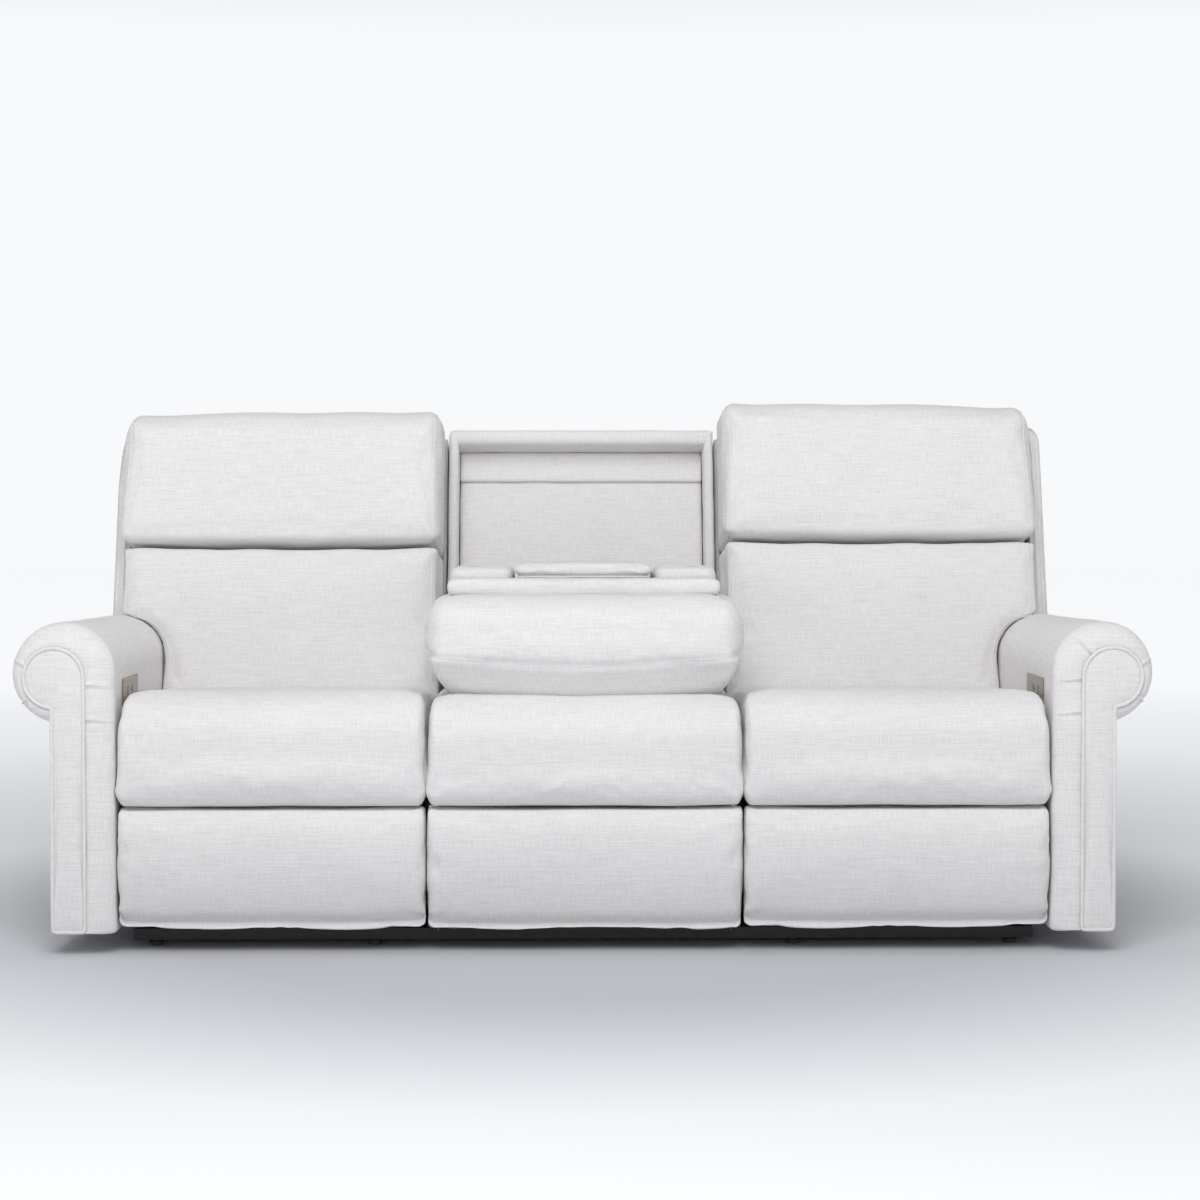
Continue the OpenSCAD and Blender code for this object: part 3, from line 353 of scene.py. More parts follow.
def cord_tube(path, radius, closed=False, sides=8):
    """Round cord along a path of points."""
    path = np.asarray(path, float)
    if closed:
        ahead, behind = np.roll(path, -1, 0), np.roll(path, 1, 0)
    else:
        ahead = np.vstack([path[1:], path[-1:]])
        behind = np.vstack([path[:1], path[:-1]])
    t = ahead - behind
    t /= np.linalg.norm(t, axis=1)[:, None]
    side = np.cross(t[0], [0.3, 0.5, 0.8])
    rings = []
    for k in range(len(path)):
        side = side - t[k] * (side @ t[k])
        side /= np.linalg.norm(side)
        other = np.cross(t[k], side)
        turn = np.linspace(0, 2 * np.pi, sides, endpoint=False)[:, None]
        rings.append(path[k] + radius * (np.cos(turn) * side + np.sin(turn) * other))
    n = len(path)
    quads = []
    for k in range(n if closed else n - 1):
        for i in range(sides):
            j, m = (i + 1) % sides, (k + 1) % n
            quads.append([k * sides + i, k * sides + j, m * sides + j, m * sides + i])
    return np.concatenate(rings), np.array(quads)


print("generators ready")

# %% [markdown]
# A cushion is sewn a little small and then inflated: a short cloth simulation presses the
# cover outwards with no gravity. Each point moves only up to a cap, and what rests on the
# frame is held in place.


# %% Cloth inflation
def puff(points, quads, cap, pressure=4.0, held=None, slack=0.0, frames=20):
    """The cover after a short inflation, in millimetres."""
    mesh = bpy.data.meshes.new("puff")
    mesh.from_pydata((points * MM).tolist(), [], np.asarray(quads).tolist())
    obj = bpy.data.objects.new("puff", mesh)
    bpy.context.collection.objects.link(obj)
    cloth = obj.modifiers.new("cloth", "CLOTH")
    settings = cloth.settings
    settings.use_pressure = True
    settings.uniform_pressure_force = pressure
    settings.effector_weights.gravity = 0
    settings.quality = 4
    settings.tension_stiffness = 12
    settings.compression_stiffness = 12
    settings.bending_stiffness = 0.4
    settings.shrink_min = -slack
    if held is not None:
        group = obj.vertex_groups.new(name="held")
        group.add(np.flatnonzero(held).tolist(), 1.0, "REPLACE")
        settings.vertex_group_mass = "held"
    cloth.point_cache.frame_start = 1
    cloth.point_cache.frame_end = frames
    for f in range(1, frames + 1):
        bpy.context.scene.frame_set(f)
    baked = obj.evaluated_get(bpy.context.evaluated_depsgraph_get()).data
    out = np.empty(len(baked.vertices) * 3)
    baked.vertices.foreach_get("co", out)
    bpy.context.scene.frame_set(1)
    bpy.data.objects.remove(obj)
    bpy.data.meshes.remove(mesh)
    move = out.reshape(-1, 3) / MM - points
    length = np.linalg.norm(move, axis=1)[:, None]
    return points + move * np.minimum(1, cap / np.maximum(length, 1e-9))


def pressed(p, half):
    """Cover that lies flat against its neighbours left and right of it."""
    p[:, 0] = np.clip(p[:, 0], -half[0], half[0])
    return p


print("inflation ready, skipped now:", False)

# %% [markdown]
# Seams are where two panels of the cover are sewn together. A seam runs along one grid
# line of a cushion, so it is found again after the inflation. The cover dips into it,
# puckers a little beside it, and a thin welt lies in the dip.


# %% Seams
def seam_line(unit, axis, value):
    """The place of the grid line nearest a value on an axis, and its points in order."""
    places = np.unique(np.round(unit[:, axis], 5))
    at = places[np.argmin(np.abs(places - value))]
    on = np.flatnonzero(np.abs(unit[:, axis] - at) < 1e-4)
    a, b = (axis + 1) % 3, (axis + 2) % 3
    return at, on[np.argsort(np.arctan2(unit[on, b], unit[on, a]))]


def sew(points, quads, unit, half, axis, value, depth=2.5, width=7, pucker=1.0, seed=1):
    """Dips and puckers the cover along a seam. Returns the points and the seam's path."""
    at, order = seam_line(unit, axis, value)
    n = vertex_normals(points, quads)
    d = np.abs(unit[:, axis] - at) * half[axis]
    scale = np.ones(3)
    scale[axis] = 0.25
    waves = ripple(points * scale, 34, seed) * np.exp(-d / 24) * pucker
    points = points + n * (waves - depth * np.exp(-(d / width) ** 2))[:, None]
    return points, points[order] + n[order] * 0.5


# %% [markdown]
# The seats are deep foam blocks whose cover rolls over the front edge. Their front upper
# edge has a large radius, the lower part rolls under, the surface falls towards the back
# and the cover puckers a little at both ends.

# %% Seats
CELL = 9
SEAT_GROWTH, SEAT_SHIFT = (4.6, 3, 7), (0, -2, 6)
SEAT_CAP = 6
WAIST = 4


def seat(node, fall, corners, seed):
    """Points, quads and seam paths of a seat cushion. Corners round its left and right end."""
    low, high = cad(node)
    half, mid = (high - low) / 2 + SEAT_GROWTH, (high + low) / 2 + SEAT_SHIFT
    unit, quads = box_grid(low, high, CELL)
    front, top = ease((1 - unit[:, 1]) / 2), ease((1 + unit[:, 2]) / 2)
    right = ease((1 + unit[:, 0]) / 2)
    corner = corners[0] + (corners[1] - corners[0]) * right
    radius = np.stack([
        3 + (corner - 3) * ease(unit[:, 2] / 0.8),
        12 + front * (26 + 66 * top) + (1 - front) * 30 * top,
        12 + front * (62 + 14 * top) + (1 - front) * 20 * top,
    ], -1)
    p = rounded(unit, half, radius, 2.1)
    # the surface falls to the rear and the cover is drawn in a little below mid height
    p[:, 2] -= fall * np.clip(unit[:, 2], 0, 1) * (unit[:, 1] + 1) / 2
    waist = np.exp(-((unit[:, 2] + 0.35) / 0.16) ** 2) * np.clip(-unit[:, 1], 0, 1)
    p[:, 0] -= np.sign(unit[:, 0]) * WAIST * waist * ease((np.abs(unit[:, 0]) - 0.9) / 0.1)
    held = (unit[:, 2] < -0.99) | (unit[:, 1] > 0.99)
    p = puff(p, quads, SEAT_CAP, held=held, slack=0.008)
    p += vertex_normals(p, quads) * ripple(p, 150, seed)[:, None] * 1.2
    for value in (-0.985, 0.985):
        p, _ = sew(p, quads, unit, half, 0, value, depth=0, pucker=1.4, seed=seed)
    return pressed(p, half) + mid, quads, []


# %% Seats, and the welts of cushions that have seams
CORD = 1.3


def stitched(name, shape, body, node, mirror=False):
    """A cushion object with a thin welt on each of its seams."""
    points, quads, seams = shape
    cover = [(points, quads)]
    welts = [cord_tube(path, CORD, closed=True, sides=6) for path in seams]
    if mirror:
        cover, welts = flipped(cover), flipped(welts)
    obj = make(name, cover, body, (node,), subdivide=1)
    if welts:
        make(name + "_welts", welts, body)
    return obj


side_seat = seat("right_seat_cushion", 33, (8, 17), 11)
stitched("seat_right", side_seat, "right_seat", "right_seat_cushion")
stitched("seat_left", side_seat, "left_seat", "left_seat_cushion", mirror=True)
middle_seat = seat("centre_seat_cushion", 15, (12, 12), 12)
stitched("seat_middle", middle_seat, "base", "centre_seat_cushion")
print("seat points:", len(side_seat[0]))

# %% [markdown]
# The footrest pads close the front below the seats. Each is a thin pad on a board: nearly
# flat, with a tight upper edge and a soft roll at its lower edge.


# %% Footrest pads
PAD_DOME = 20
PAD_GROWTH = (5, 0, 1.8)
PAD_CAP = 5


def front_pad(low, high, seed):
    """Points, quads and seams of an upright pad with its face to the front."""
    half, mid = (high - low) / 2 + PAD_GROWTH, (high + low) / 2
    unit, quads = box_grid(low, high, CELL)
    front, low_down = ease((1 - unit[:, 1]) / 2), ease(-unit[:, 2])
    radius = np.stack([
        3 + 3 * low_down, 12 + front * (4 + 18 * low_down), 12 + front * (4 + 30 * low_down),
    ], -1)
    p = rounded(unit, half, radius, 2.2)
    # full above the middle, and drawn back to its upper and lower edge
    face = np.clip(-unit[:, 1], 0, 1)
    p[:, 1] += PAD_DOME * face * (unit[:, 2] - 0.35) ** 2
    p = puff(p, quads, PAD_CAP, pressure=3, held=unit[:, 1] > 0.99, slack=0.006)
    p += vertex_normals(p, quads) * ripple(p, 170, seed)[:, None] * 0.9
    for value in (-0.985, 0.985):
        p, _ = sew(p, quads, unit, half, 0, value, depth=0, pucker=0.9, seed=seed)
    p[:, 2] = np.minimum(p[:, 2], half[2])
    return pressed(p, half) + mid, quads, []


rest_pad = front_pad(*cad("right_footrest_pad"), 21)
stitched("footrest_right", rest_pad, "right_footrest", "right_footrest_pad")
stitched("footrest_left", rest_pad, "left_footrest", "left_footrest_pad", mirror=True)
low, high = cad("centre_front_panel")
low[2] -= 4
high[1] = cad("right_footrest_pad")[1][1]
stitched("front_middle", front_pad(low, high, 22), "base", "centre_front_panel")
print("pad points:", len(rest_pad[0]))

# %% [markdown]
# A strip of black cloth closes the gap between the middle pad and the floor rails.

# %% Dust strip
low, high = cad("centre_seat_frame")
low, high = low + (1, -2.5, -1), np.array([high[0] - 1, low[1] - 0.5, low[2] + 30])
unit, quads = box_grid(low, high, 30)
strip = rounded(unit, (high - low) / 2, 0.8, 2.2) + (high + low) / 2
dust_strip = make("dust_strip", [(strip, quads)], "base", material=PLASTIC)
print("made", dust_strip.name)

# %% [markdown]
# Each side back has two cushions. The head cushion is thick and rolls over the top and
# over the lumbar cushion below it. Both reach out over the arm: the lumbar cushion only in
# its upper part, because the arm's roll is in the way further down.

# %% Back cushions
SEAT_IN, SEAT_OUT = cad("right_seat_cushion")[0][0], cad("right_seat_cushion")[1][0]
ROLL_R = 96.5
ROLL_LIFT = 7
ROLL_ROOM = 1.5
SAG = 10
SPLIT_SAG = 5
LUMBAR_CAP, HEAD_CAP = 7, 5


def over_roll(z):
    """How far out a cushion may reach at this height, clear of the arm's roll."""
    arm_high = cad("right_arm_cover")[1]
    roll = ROLL_R + ROLL_ROOM
    centre = np.array([arm_high[0] - ROLL_R, arm_high[2] - ROLL_R + ROLL_LIFT - SAG])
    up = np.clip(z - centre[1], 0, roll)
    return centre[0] - np.sqrt(roll ** 2 - up ** 2)


def lumbar_cushion(split, ear):
    """The lumbar cushion up to the split, with an ear that follows the arm's roll."""
    low, high = np.array([[SEAT_IN - 2, -25, -118], [SEAT_OUT + 3, 150, split - 1]])
    half, mid = (high - low) / 2, (high + low) / 2
    unit, quads = box_grid(low, high, CELL)
    front, top = ease((1 - unit[:, 1]) / 2), ease((1 + unit[:, 2]) / 2)
    radius = np.stack([6 + 10 * front * top, 14 + 14 * front * top, 6 + 8 * top], -1)
    p = rounded(unit, half, radius, 2.2)
    p[:, 1] += 5 * np.exp(-(unit[:, 2] / 0.35) ** 2) * np.clip(-unit[:, 1], 0, 1)
    room = over_roll(lean(p + mid)[:, 2]) - high[0]
    p[:, 0] += np.clip(room, 0, ear) * np.clip(unit[:, 0], 0, 1) ** 2
    p[:, 2] -= SPLIT_SAG * (1 - unit[:, 0] ** 2) * top
    held = (unit[:, 1] > 0.99) | (unit[:, 2] < -0.99)
    p = puff(p, quads, LUMBAR_CAP, held=held, slack=0.006)
    p += vertex_normals(p, quads) * ripple(p, 140, 31)[:, None] * 1.5
    seams = []
    for value in (-0.97, 0.97):
        p, path = sew(p, quads, unit, half, 0, value, seed=32)
        seams.append(path)
    room = np.clip(over_roll(lean(p + mid)[:, 2]) - high[0], 0, ear)
    p[:, 0] = np.clip(p[:, 0], -half[0], half[0] + room)
    return lean(p + mid), quads, [lean(path + mid) for path in seams]


def head_cushion(split, rise, ear):
    """The head cushion between the split and its top, thick and full over the lumbar one."""
    low, high = np.array([[SEAT_IN - 2, -48, split + 1], [SEAT_OUT + ear, 150, rise]])
    half, mid = (high - low) / 2 - (0, 3, 0), (high + low) / 2
    unit, quads = box_grid(low, high, CELL)
    front, top = ease((1 - unit[:, 1]) / 2), ease((1 + unit[:, 2]) / 2)
    outer = ease((1 + unit[:, 0]) / 2)
    radius = np.stack([
        14 + 12 * top + 10 * top * outer, 16 + front * (6 + 58 * top), 10 + front * (3 + 49 * top),
    ], -1)
    p = rounded(unit, half, radius, 2.2)
    p = puff(p, quads, HEAD_CAP, held=unit[:, 1] > 0.99, slack=0.006)
    p += vertex_normals(p, quads) * ripple(p, 160, 41)[:, None] * 1.6
    p[:, 0] = np.clip(p[:, 0], -half[0] - 1, half[0] + 4)
    p[:, 2] = np.maximum(p[:, 2], -half[2])
    p[:, 2] -= SPLIT_SAG * (1 - unit[:, 0] ** 2) * (1 - top)
    p[:, 2] -= 12 * top * np.clip(unit[:, 0], 0, 1) ** 2
    seams = []
    for value in (-0.97, 0.97):
        p, path = sew(p, quads, unit, half, 0, value, depth=1.6, seed=42)
        seams.append(lean(path + mid))
    return lean(p + mid), quads, seams


# the left cushions have settled a little lower than the right ones
for side, split, rise, ear in (("right", 243, 557, 95), ("left", 230, 537, 106)):
    shapes = {"lumbar": lumbar_cushion(split, ear), "head": head_cushion(split, rise, ear)}
    for kind, shape in shapes.items():
        stitched(f"{kind}_{side}", shape, f"{side}_back", f"{side}_{kind}_cushion",
                 mirror=side == "left")
        print(side, kind, "points:", len(shape[0]))

# %% [markdown]
# The console's head cushion lies in front, like a bolster. Its front rolls down to a seam
# that dips in the middle, and below the seam the underside bellies out and rises towards
# the ends.


# %% Console head cushion
SEAM_AT, SEAM_SAG = -0.15, 0.22
BELLY = 2.5
CUT_BACK = 1.1
HANG = 1.32
TUCK = 9


def console_head():
    """The bolster of the console: full above its seam, a belly that curves up below it."""
    low, high = cad("console_head_cushion")
    half, mid = (high - low) / 2 + (6, -1, 5), (high + low) / 2
    unit, quads = box_grid(low, high, 8)
    front, top = ease((1 - unit[:, 1]) / 2), ease((unit[:, 2] + 0.5) / 0.9)
    # the grid lines sag in the middle, so that the seam does
    bent = unit.copy()
    bent[:, 2] -= SEAM_SAG * (1 - np.abs(unit[:, 0]) ** 1.5) * (1 - unit[:, 2] ** 2)
    radius = np.stack([
        14 + 34 * top, 14 + front * (24 + 40 * top), 20 + front * (14 + 26 * top),
    ], -1)
    p = rounded(bent, half, radius, 2.2)
    p = puff(p, quads, 6, held=unit[:, 1] > 0.99, slack=0.008)
    # below the seam the panel rises to the ends and is cut back under the bolster
    across = np.clip(np.abs(p[:, 0]) / half[0], 0, 1)
    seam = (SEAM_AT - SEAM_SAG * (1 - across ** 1.5) * (1 - SEAM_AT ** 2)) * half[2]
    hang = np.clip(seam - p[:, 2], 0, None)
    left = np.maximum((1 - across ** BELLY) ** (1 / BELLY), 0.2)
    drawn = ease((seam + 30 - p[:, 2]) / 30) * ease((across - 0.8) / 0.2)
    p[:, 0] -= np.sign(p[:, 0]) * TUCK * drawn
    p[:, 2] += hang * (1 - HANG * left)
    p[:, 1] += CUT_BACK * hang * left * np.clip(-unit[:, 1], 0, 1)
    p += vertex_normals(p, quads) * ripple(p, 130, 51)[:, None] * 1.0
    p, path = sew(p, quads, unit, half, 2, SEAM_AT, depth=5, width=5, pucker=0.7, seed=52)
    return p + mid, quads, [path + mid]


head = console_head()
stitched("console_head", head, "console", "console_head_cushion")
print("console head points:", len(head[0]))

# %% [markdown]
# The top of the lowered console is a set of small pads: a long one in front, one on each
# side with a cup holder in it, and the padded lid of the storage bin between them.


# %% Console pads
def small_pad(low, high, radius, cap, seed, cell=6, seam=None):
    """A small puffy pad held at its underside, with an optional seam round its edge."""
    half, mid = (high - low) / 2, (high + low) / 2
    unit, quads = box_grid(low, high, cell)
    p = rounded(unit, half, radius, 2.2)
    p = puff(p, quads, cap, held=unit[:, 2] < -0.99, slack=0.01)
    p += vertex_normals(p, quads) * ripple(p, 60, seed)[:, None] * 0.7
    seams = []
    if seam is not None:
        p, path = sew(p, quads, unit, half, 2, seam, depth=1.5, width=4, pucker=0.6, seed=seed)
        seams.append(path + mid)
    return p + mid, quads, seams


low, high = cad("console_front_pad")
front_bolster = small_pad(low - (5, 0, 0), high + (5, 0, -3), (13, 17, 15), 2, 61)
stitched("console_front_pad", front_bolster, "console", "console_front_pad")
low, high = cad("console_lid")
BOARD = 6
lid = small_pad(low + (1, 1, BOARD), high - (1, 1, 5), (17, 15, 12), 4, 62)
stitched("lid_pad", lid, "console_lid", "console_lid")
print("bolster and lid points:", len(front_bolster[0]), len(lid[0]))

# %% Lid board
unit, quads = box_grid(low, high, 20)
board_half = (high - low) / 2 * (1, 1, 0) - (6, 4, -BOARD / 2)
board_mid = (high + low) / 2 * (1, 1, 0) + (0, 0, low[2] + BOARD / 2)
make("lid_board", [(rounded(unit, board_half, 2) + board_mid, quads)], "console_lid")
print("lid board", (2 * board_half[:2]).round(), "mm")


# %% Side pads with a round opening
LIP, SIDE_ROLL, SWELL = 7, 17, 2.5
CORNER_POWER = 7


def ring_pad(low, high, centre, hole, rings=16, turns=96):
    """A pad round a hole: rings from the hole out over the top and down to the underside."""
    a = np.linspace(0, 2 * np.pi, turns, endpoint=False)
    reach_x = np.where(np.cos(a) > 0, high[0] - centre[0], centre[0] - low[0])
    reach_y = np.where(np.sin(a) > 0, high[1] - centre[1], centre[1] - low[1])
    edge = np.abs(np.cos(a) / reach_x) ** CORNER_POWER + np.abs(np.sin(a) / reach_y) ** CORNER_POWER
    edge = edge ** (-1 / CORNER_POWER)
    path = []
    for z in (low[2], high[2] - LIP - 2):
        path.append((np.full(turns, float(hole)), np.full(turns, z)))
    for t in np.linspace(0.15, 1, 5) * np.pi / 2:
        z = high[2] - LIP - 2 + LIP * math.sin(t)
        path.append((np.full(turns, hole + LIP * (1 - math.cos(t))), np.full(turns, z)))
    for t in np.linspace(0.08, 1, rings - 6):
        z = high[2] - 2 + SWELL * math.sin(math.pi * t)
        path.append((hole + LIP + (edge - SIDE_ROLL - hole - LIP) * t, np.full(turns, z)))
    for t in np.linspace(0.2, 1, 6) * np.pi / 2:
        z = high[2] - 2 - SIDE_ROLL * (1 - math.cos(t))
        path.append((edge - SIDE_ROLL * (1 - math.sin(t)), np.full(turns, z)))
    path.append((edge + 0.6, np.full(turns, (high[2] + low[2]) / 2 - 4)))
    path.append((edge - 2, np.full(turns, low[2] + 1)))
    path.append((edge - 8, np.full(turns, low[2])))
    path.append((np.full(turns, hole + 1.0), np.full(turns, low[2])))
    p = np.concatenate([
        np.stack([centre[0] + r * np.cos(a), centre[1] + r * np.sin(a), z], -1) for r, z in path
    ])
    quads = grid_faces(len(path), turns, closed=True)[:, [0, 3, 2, 1]]
    p += vertex_normals(p, quads) * ripple(p, 55, 63)[:, None] * 0.7
    return p, quads


cup_low, cup_high = cad("cup_holders")
pads_low, pads_high = cad("console_side_pads")
CUP_OUT = 43
CUP_LIP = 6
cup = np.array([cup_high[0] - CUP_OUT - CUP_LIP, (cup_low[1] + cup_high[1]) / 2])
pad_low = np.array([lid[0][:, 0].max() + 2, pads_low[1] + 1, pads_low[2]])
side_pad = ring_pad(pad_low, pads_high + (4, -1, 0), cup, CUP_OUT + 1)
make("side_pads", [side_pad] + flipped([side_pad]), "console", ("console_side_pads",), subdivide=1)
print("cup holder centre at", cup)

# %% [markdown]
# A round cup holder is a moulded liner: a deep bowl whose rim rolls over the pad.


# %% Cup liners
def lathe(profile, centre, turns=64):
    """A closed profile of (radius, z) turned about an upright axis."""
    a = np.linspace(0, 2 * np.pi, turns, endpoint=False)
    p = np.concatenate([
        np.stack([centre[0] + r * np.cos(a), centre[1] + r * np.sin(a), np.full(turns, float(z))], -1)
        for r, z in profile
    ])
    return p, grid_faces(len(profile), turns)


bottom, top = cup_low[2], cup_high[2] - 4
liner = [(0.1, bottom), (38, bottom), (42, bottom + 3), (42.8, top - 4), (44, top - 2.4), (48, top - 2.2),
         (49, top - 1), (48, top), (42, top), (40.6, top - 1.2), (40, top - 4), (39.6, bottom + 12),
         (38, bottom + 7), (34, bottom + 4), (12, bottom + 3.2), (0.1, bottom + 3)]
cups = lathe(liner, cup)
liners = make("cup_liners", [cups] + flipped([cups]), "console", ("cup_holders",), material=PLASTIC)
print("liner points:", 2 * len(cups[0]))

# %% [markdown]
# The lower cushion carries the console when it is folded up as a back. It is an extruded
# pad: one closed outline with a rounded rear end, softened where it meets its two ends.


# %% Extruded pads
def evenly(outline, cell):
    """Points spread evenly along a closed outline."""
    closed = np.vstack([outline, outline[:1]])
    run = np.r_[0, np.cumsum(np.linalg.norm(np.diff(closed, axis=0), axis=1))]
    at = np.linspace(0, run[-1], max(int(run[-1] / cell), 12), endpoint=False)
    return np.stack([np.interp(at, run, closed[:, k]) for k in range(2)], -1)


def smooth(outline, times):
    """Rounds the corners of a closed outline."""
    for _ in range(times):
        outline = (np.roll(outline, 1, 0) + 2 * outline + np.roll(outline, -1, 0)) / 4
    return outline


def extruded(outline, low, high, edge, cell=9, crown=0.0):
    """A pad between two places along X with this (y, z) outline, run counterclockwise."""
    tangent = np.roll(outline, -1, 0) - np.roll(outline, 1, 0)
    normal = np.stack([tangent[:, 1], -tangent[:, 0]], -1)
    normal /= np.linalg.norm(normal, axis=1)[:, None]
    middle = outline.mean(0)
    rounding = [(edge * (1 - math.sin(t)), edge * (1 - math.cos(t)))
                for t in np.linspace(0, np.pi / 2, 6)]
    tight = outline - normal * edge
    end = [(0, middle + (tight - middle) * share) for share in (0.15, 0.45, 0.75)]
    end += [(edge - depth, outline - normal * inset) for depth, inset in rounding[::-1]]
    steps = np.linspace(low + edge, high - edge, max(int((high - low) / cell), 3))[1:-1]
    swell = [outline + normal * crown * math.sin(math.pi * (x - low) / (high - low)) for x in steps]
    places = [(low + depth, line) for depth, line in end] + list(zip(steps, swell))
    places += [(high - depth, line) for depth, line in end[::-1]]
    rings = [np.column_stack([np.full(len(line), x), line]) for x, line in places]
    n, m = len(rings), len(outline)
    first, last = [list(range(m))[::-1]], [[(n - 1) * m + i for i in range(m)]]
    return np.concatenate(rings), grid_faces(n, m).tolist() + first + last


low, high = cad("console_lower_cushion")
FLAT_TOP = 599
arc = np.linspace(-np.pi / 2, np.pi / 2, 24)
reach = high[1] - HINGE[1]
tail = np.stack([HINGE[1] + reach * np.cos(arc), HINGE[2] + reach * np.sin(arc)], -1)
STEP_Y = 44
outline = np.vstack([[low[1], low[2]], [0, low[2]], tail,
                     [STEP_Y, high[2]], [STEP_Y, FLAT_TOP], [low[1], FLAT_TOP]])
outline = smooth(evenly(outline, 6), 8)
pad = extruded(outline, low[0], high[0], 10)
make("console_lower_pad", [pad], "console", ("console_lower_cushion",))
print("lower pad points:", len(pad[0]))

# %% [markdown]
# The rolled arm is drawn as matched points on two curves seen from the front: the outline
# of the cover, and the welt round the scroll panel. The cover bends from one to the other
# over the front edge and is gathered in small pleats where the bend is tight.


# %% Arm curves
low, high = cad("right_arm_cover")
ROLL = np.array([high[0] - ROLL_R, high[2] - ROLL_R + ROLL_LIFT])
POST = np.array([low[0], 1019.0])
WELT_R = 56.5
WELT = ROLL + (15.5, -9)
WELT_OUT = POST[1] - 6
FOOT = low[2]


def arm_outline(centre, radius, inner, outer, foot, counts=(90, 300, 220, 26)):
    """Points up the outer side, round the roll, down the inner side and along the foot."""
    tuck = -math.acos((outer - centre[0]) / radius)
    a = np.linspace(tuck, np.pi, counts[1], endpoint=False)
    roll = np.stack([centre[0] + radius * np.cos(a), centre[1] + radius * np.sin(a)], -1)
    up = np.linspace([outer, foot], roll[0], counts[0], endpoint=False)
    down = np.linspace([inner, centre[1]], [inner, foot], counts[2], endpoint=False)
    back = np.linspace([inner, foot], [outer, foot], counts[3], endpoint=False)
    return np.vstack([up, roll, down, back])


cover_line = smooth(arm_outline(ROLL, ROLL_R, POST[0], POST[1], FOOT), 6)
welt_line = smooth(arm_outline(WELT, WELT_R, WELT[0] - WELT_R, WELT_OUT, FOOT + 5), 6)
print("arm curve points:", len(cover_line))

# %% [markdown]
# A pleat is a narrow groove with one steep side and a small fold beside it. It starts at
# the welt and runs out over the roll. Two level ones cross the strip below the roll.


# %% Arm cover
ARM_REAR = 120
BEND = 48
STRIP_BEND = 22
STRIP_WIDE = 60
REAR_EDGE = 12
HEART = np.array([960.0, 460.0])
WELT_DIP = 3.5
PLEAT_DEEP, PLEAT_WIDE, PLEAT_LONG = 5.2, 2.4, 34
FAR_FROM_WELT = 1e3


def pleat(distance, width):
    """A groove at distance 0 with a soft fold on its positive side."""
    groove = np.exp(-(distance / width) ** 2) * np.where(distance < 0, 1, np.exp(-distance / width))
    fold = np.exp(-((distance - 2.6 * width) / (1.8 * width)) ** 2)
    return -groove + 0.45 * fold


def arm_cover(turns, levels, seed):
    """The cover of the right arm: bend over the front edge, long body and rear end."""
    reach = np.linalg.norm(cover_line - welt_line, axis=1)
    outward = np.clip((cover_line[:, 0] - POST[0]) / STRIP_WIDE, 0, 1)
    depth = np.clip(0.8 * reach, 5, STRIP_BEND + (BEND - STRIP_BEND) * outward)
    for _ in range(30):
        depth = (np.roll(depth, 1) + depth + np.roll(depth, -1)) / 3
    front = cad("right_arm_cover")[0][1]
    rings, along = [], []
    for t in np.linspace(0, np.pi / 2, 15):
        line = welt_line + (cover_line - welt_line) * math.sin(t)
        rings.append(np.column_stack([line[:, 0], front + depth * (1 - math.cos(t)), line[:, 1]]))
        along.append(reach * math.sin(t) * 0.6 + depth * (1 - math.cos(t)))
    for t in np.linspace(0, 1, 60)[1:]:
        y = front + depth + (ARM_REAR - REAR_EDGE - front - depth) * t
        rings.append(np.column_stack([cover_line[:, 0], y, cover_line[:, 1]]))
        along.append(reach * 0.6 + y - front)
    inward = HEART - cover_line
    inward /= np.linalg.norm(inward, axis=1)[:, None]
    for t in np.linspace(0, np.pi / 2, 7)[1:]:
        line = cover_line + inward * REAR_EDGE * (1 - math.cos(t))
        y = np.full(len(line), ARM_REAR - REAR_EDGE * (1 - math.sin(t)))
        rings.append(np.column_stack([line[:, 0], y, line[:, 1]]))
        along.append(np.full(len(line), FAR_FROM_WELT))
    for share in (0.85, 0.6, 0.3, 0.05):
        inner = HEART + (line - HEART) * share
        rings.append(np.column_stack([inner[:, 0], np.full(len(inner), float(ARM_REAR)), inner[:, 1]]))
        along.append(np.full(len(inner), FAR_FROM_WELT))
    p = np.concatenate(rings)
    along = np.concatenate(along)
    quads = grid_faces(len(rings), len(cover_line))
    top = np.clip((p[:, 2] - ROLL[1]) / ROLL_R, 0, 1)
    run = np.clip((p[:, 1] - front) / (ARM_REAR - front), 0, 1)
    p[:, 2] -= SAG * top * run
    p[:, 1] += WELT_DIP * np.exp(-(along / 4) ** 2)
    # pleats: round the scroll by angle, and level ones on the inner strip
    lift = np.zeros(len(p))
    from_welt = p[:, ::2] - WELT
    angle = np.degrees(np.arctan2(from_welt[:, 1], from_welt[:, 0]))
    radius = np.linalg.norm(from_welt, axis=1)
    fade = np.exp(-(along / PLEAT_LONG) ** 2) * np.clip(along / 3, 0, 1)
    for turn in turns:
        lift += pleat(np.radians(angle - turn) * radius, PLEAT_WIDE) * fade * (radius < 140)
    strip = np.clip((POST[0] + STRIP_WIDE - p[:, 0]) / 8, 0, 1)
    for level in levels:
        lift += 0.8 * pleat(level - p[:, 2] + 0.12 * (p[:, 0] - POST[0]), PLEAT_WIDE) * fade * strip
    p += vertex_normals(p, quads) * (lift * PLEAT_DEEP + ripple(p, 120, seed) * 1.0)[:, None]
    faces = quads.tolist() + [[len(p) - len(cover_line) + i for i in range(len(cover_line))]]
    return p, faces


right_cover = arm_cover((24, -38, 133), (521, 458), 71)
left_cover = arm_cover((24, -38), (512, 446), 72)


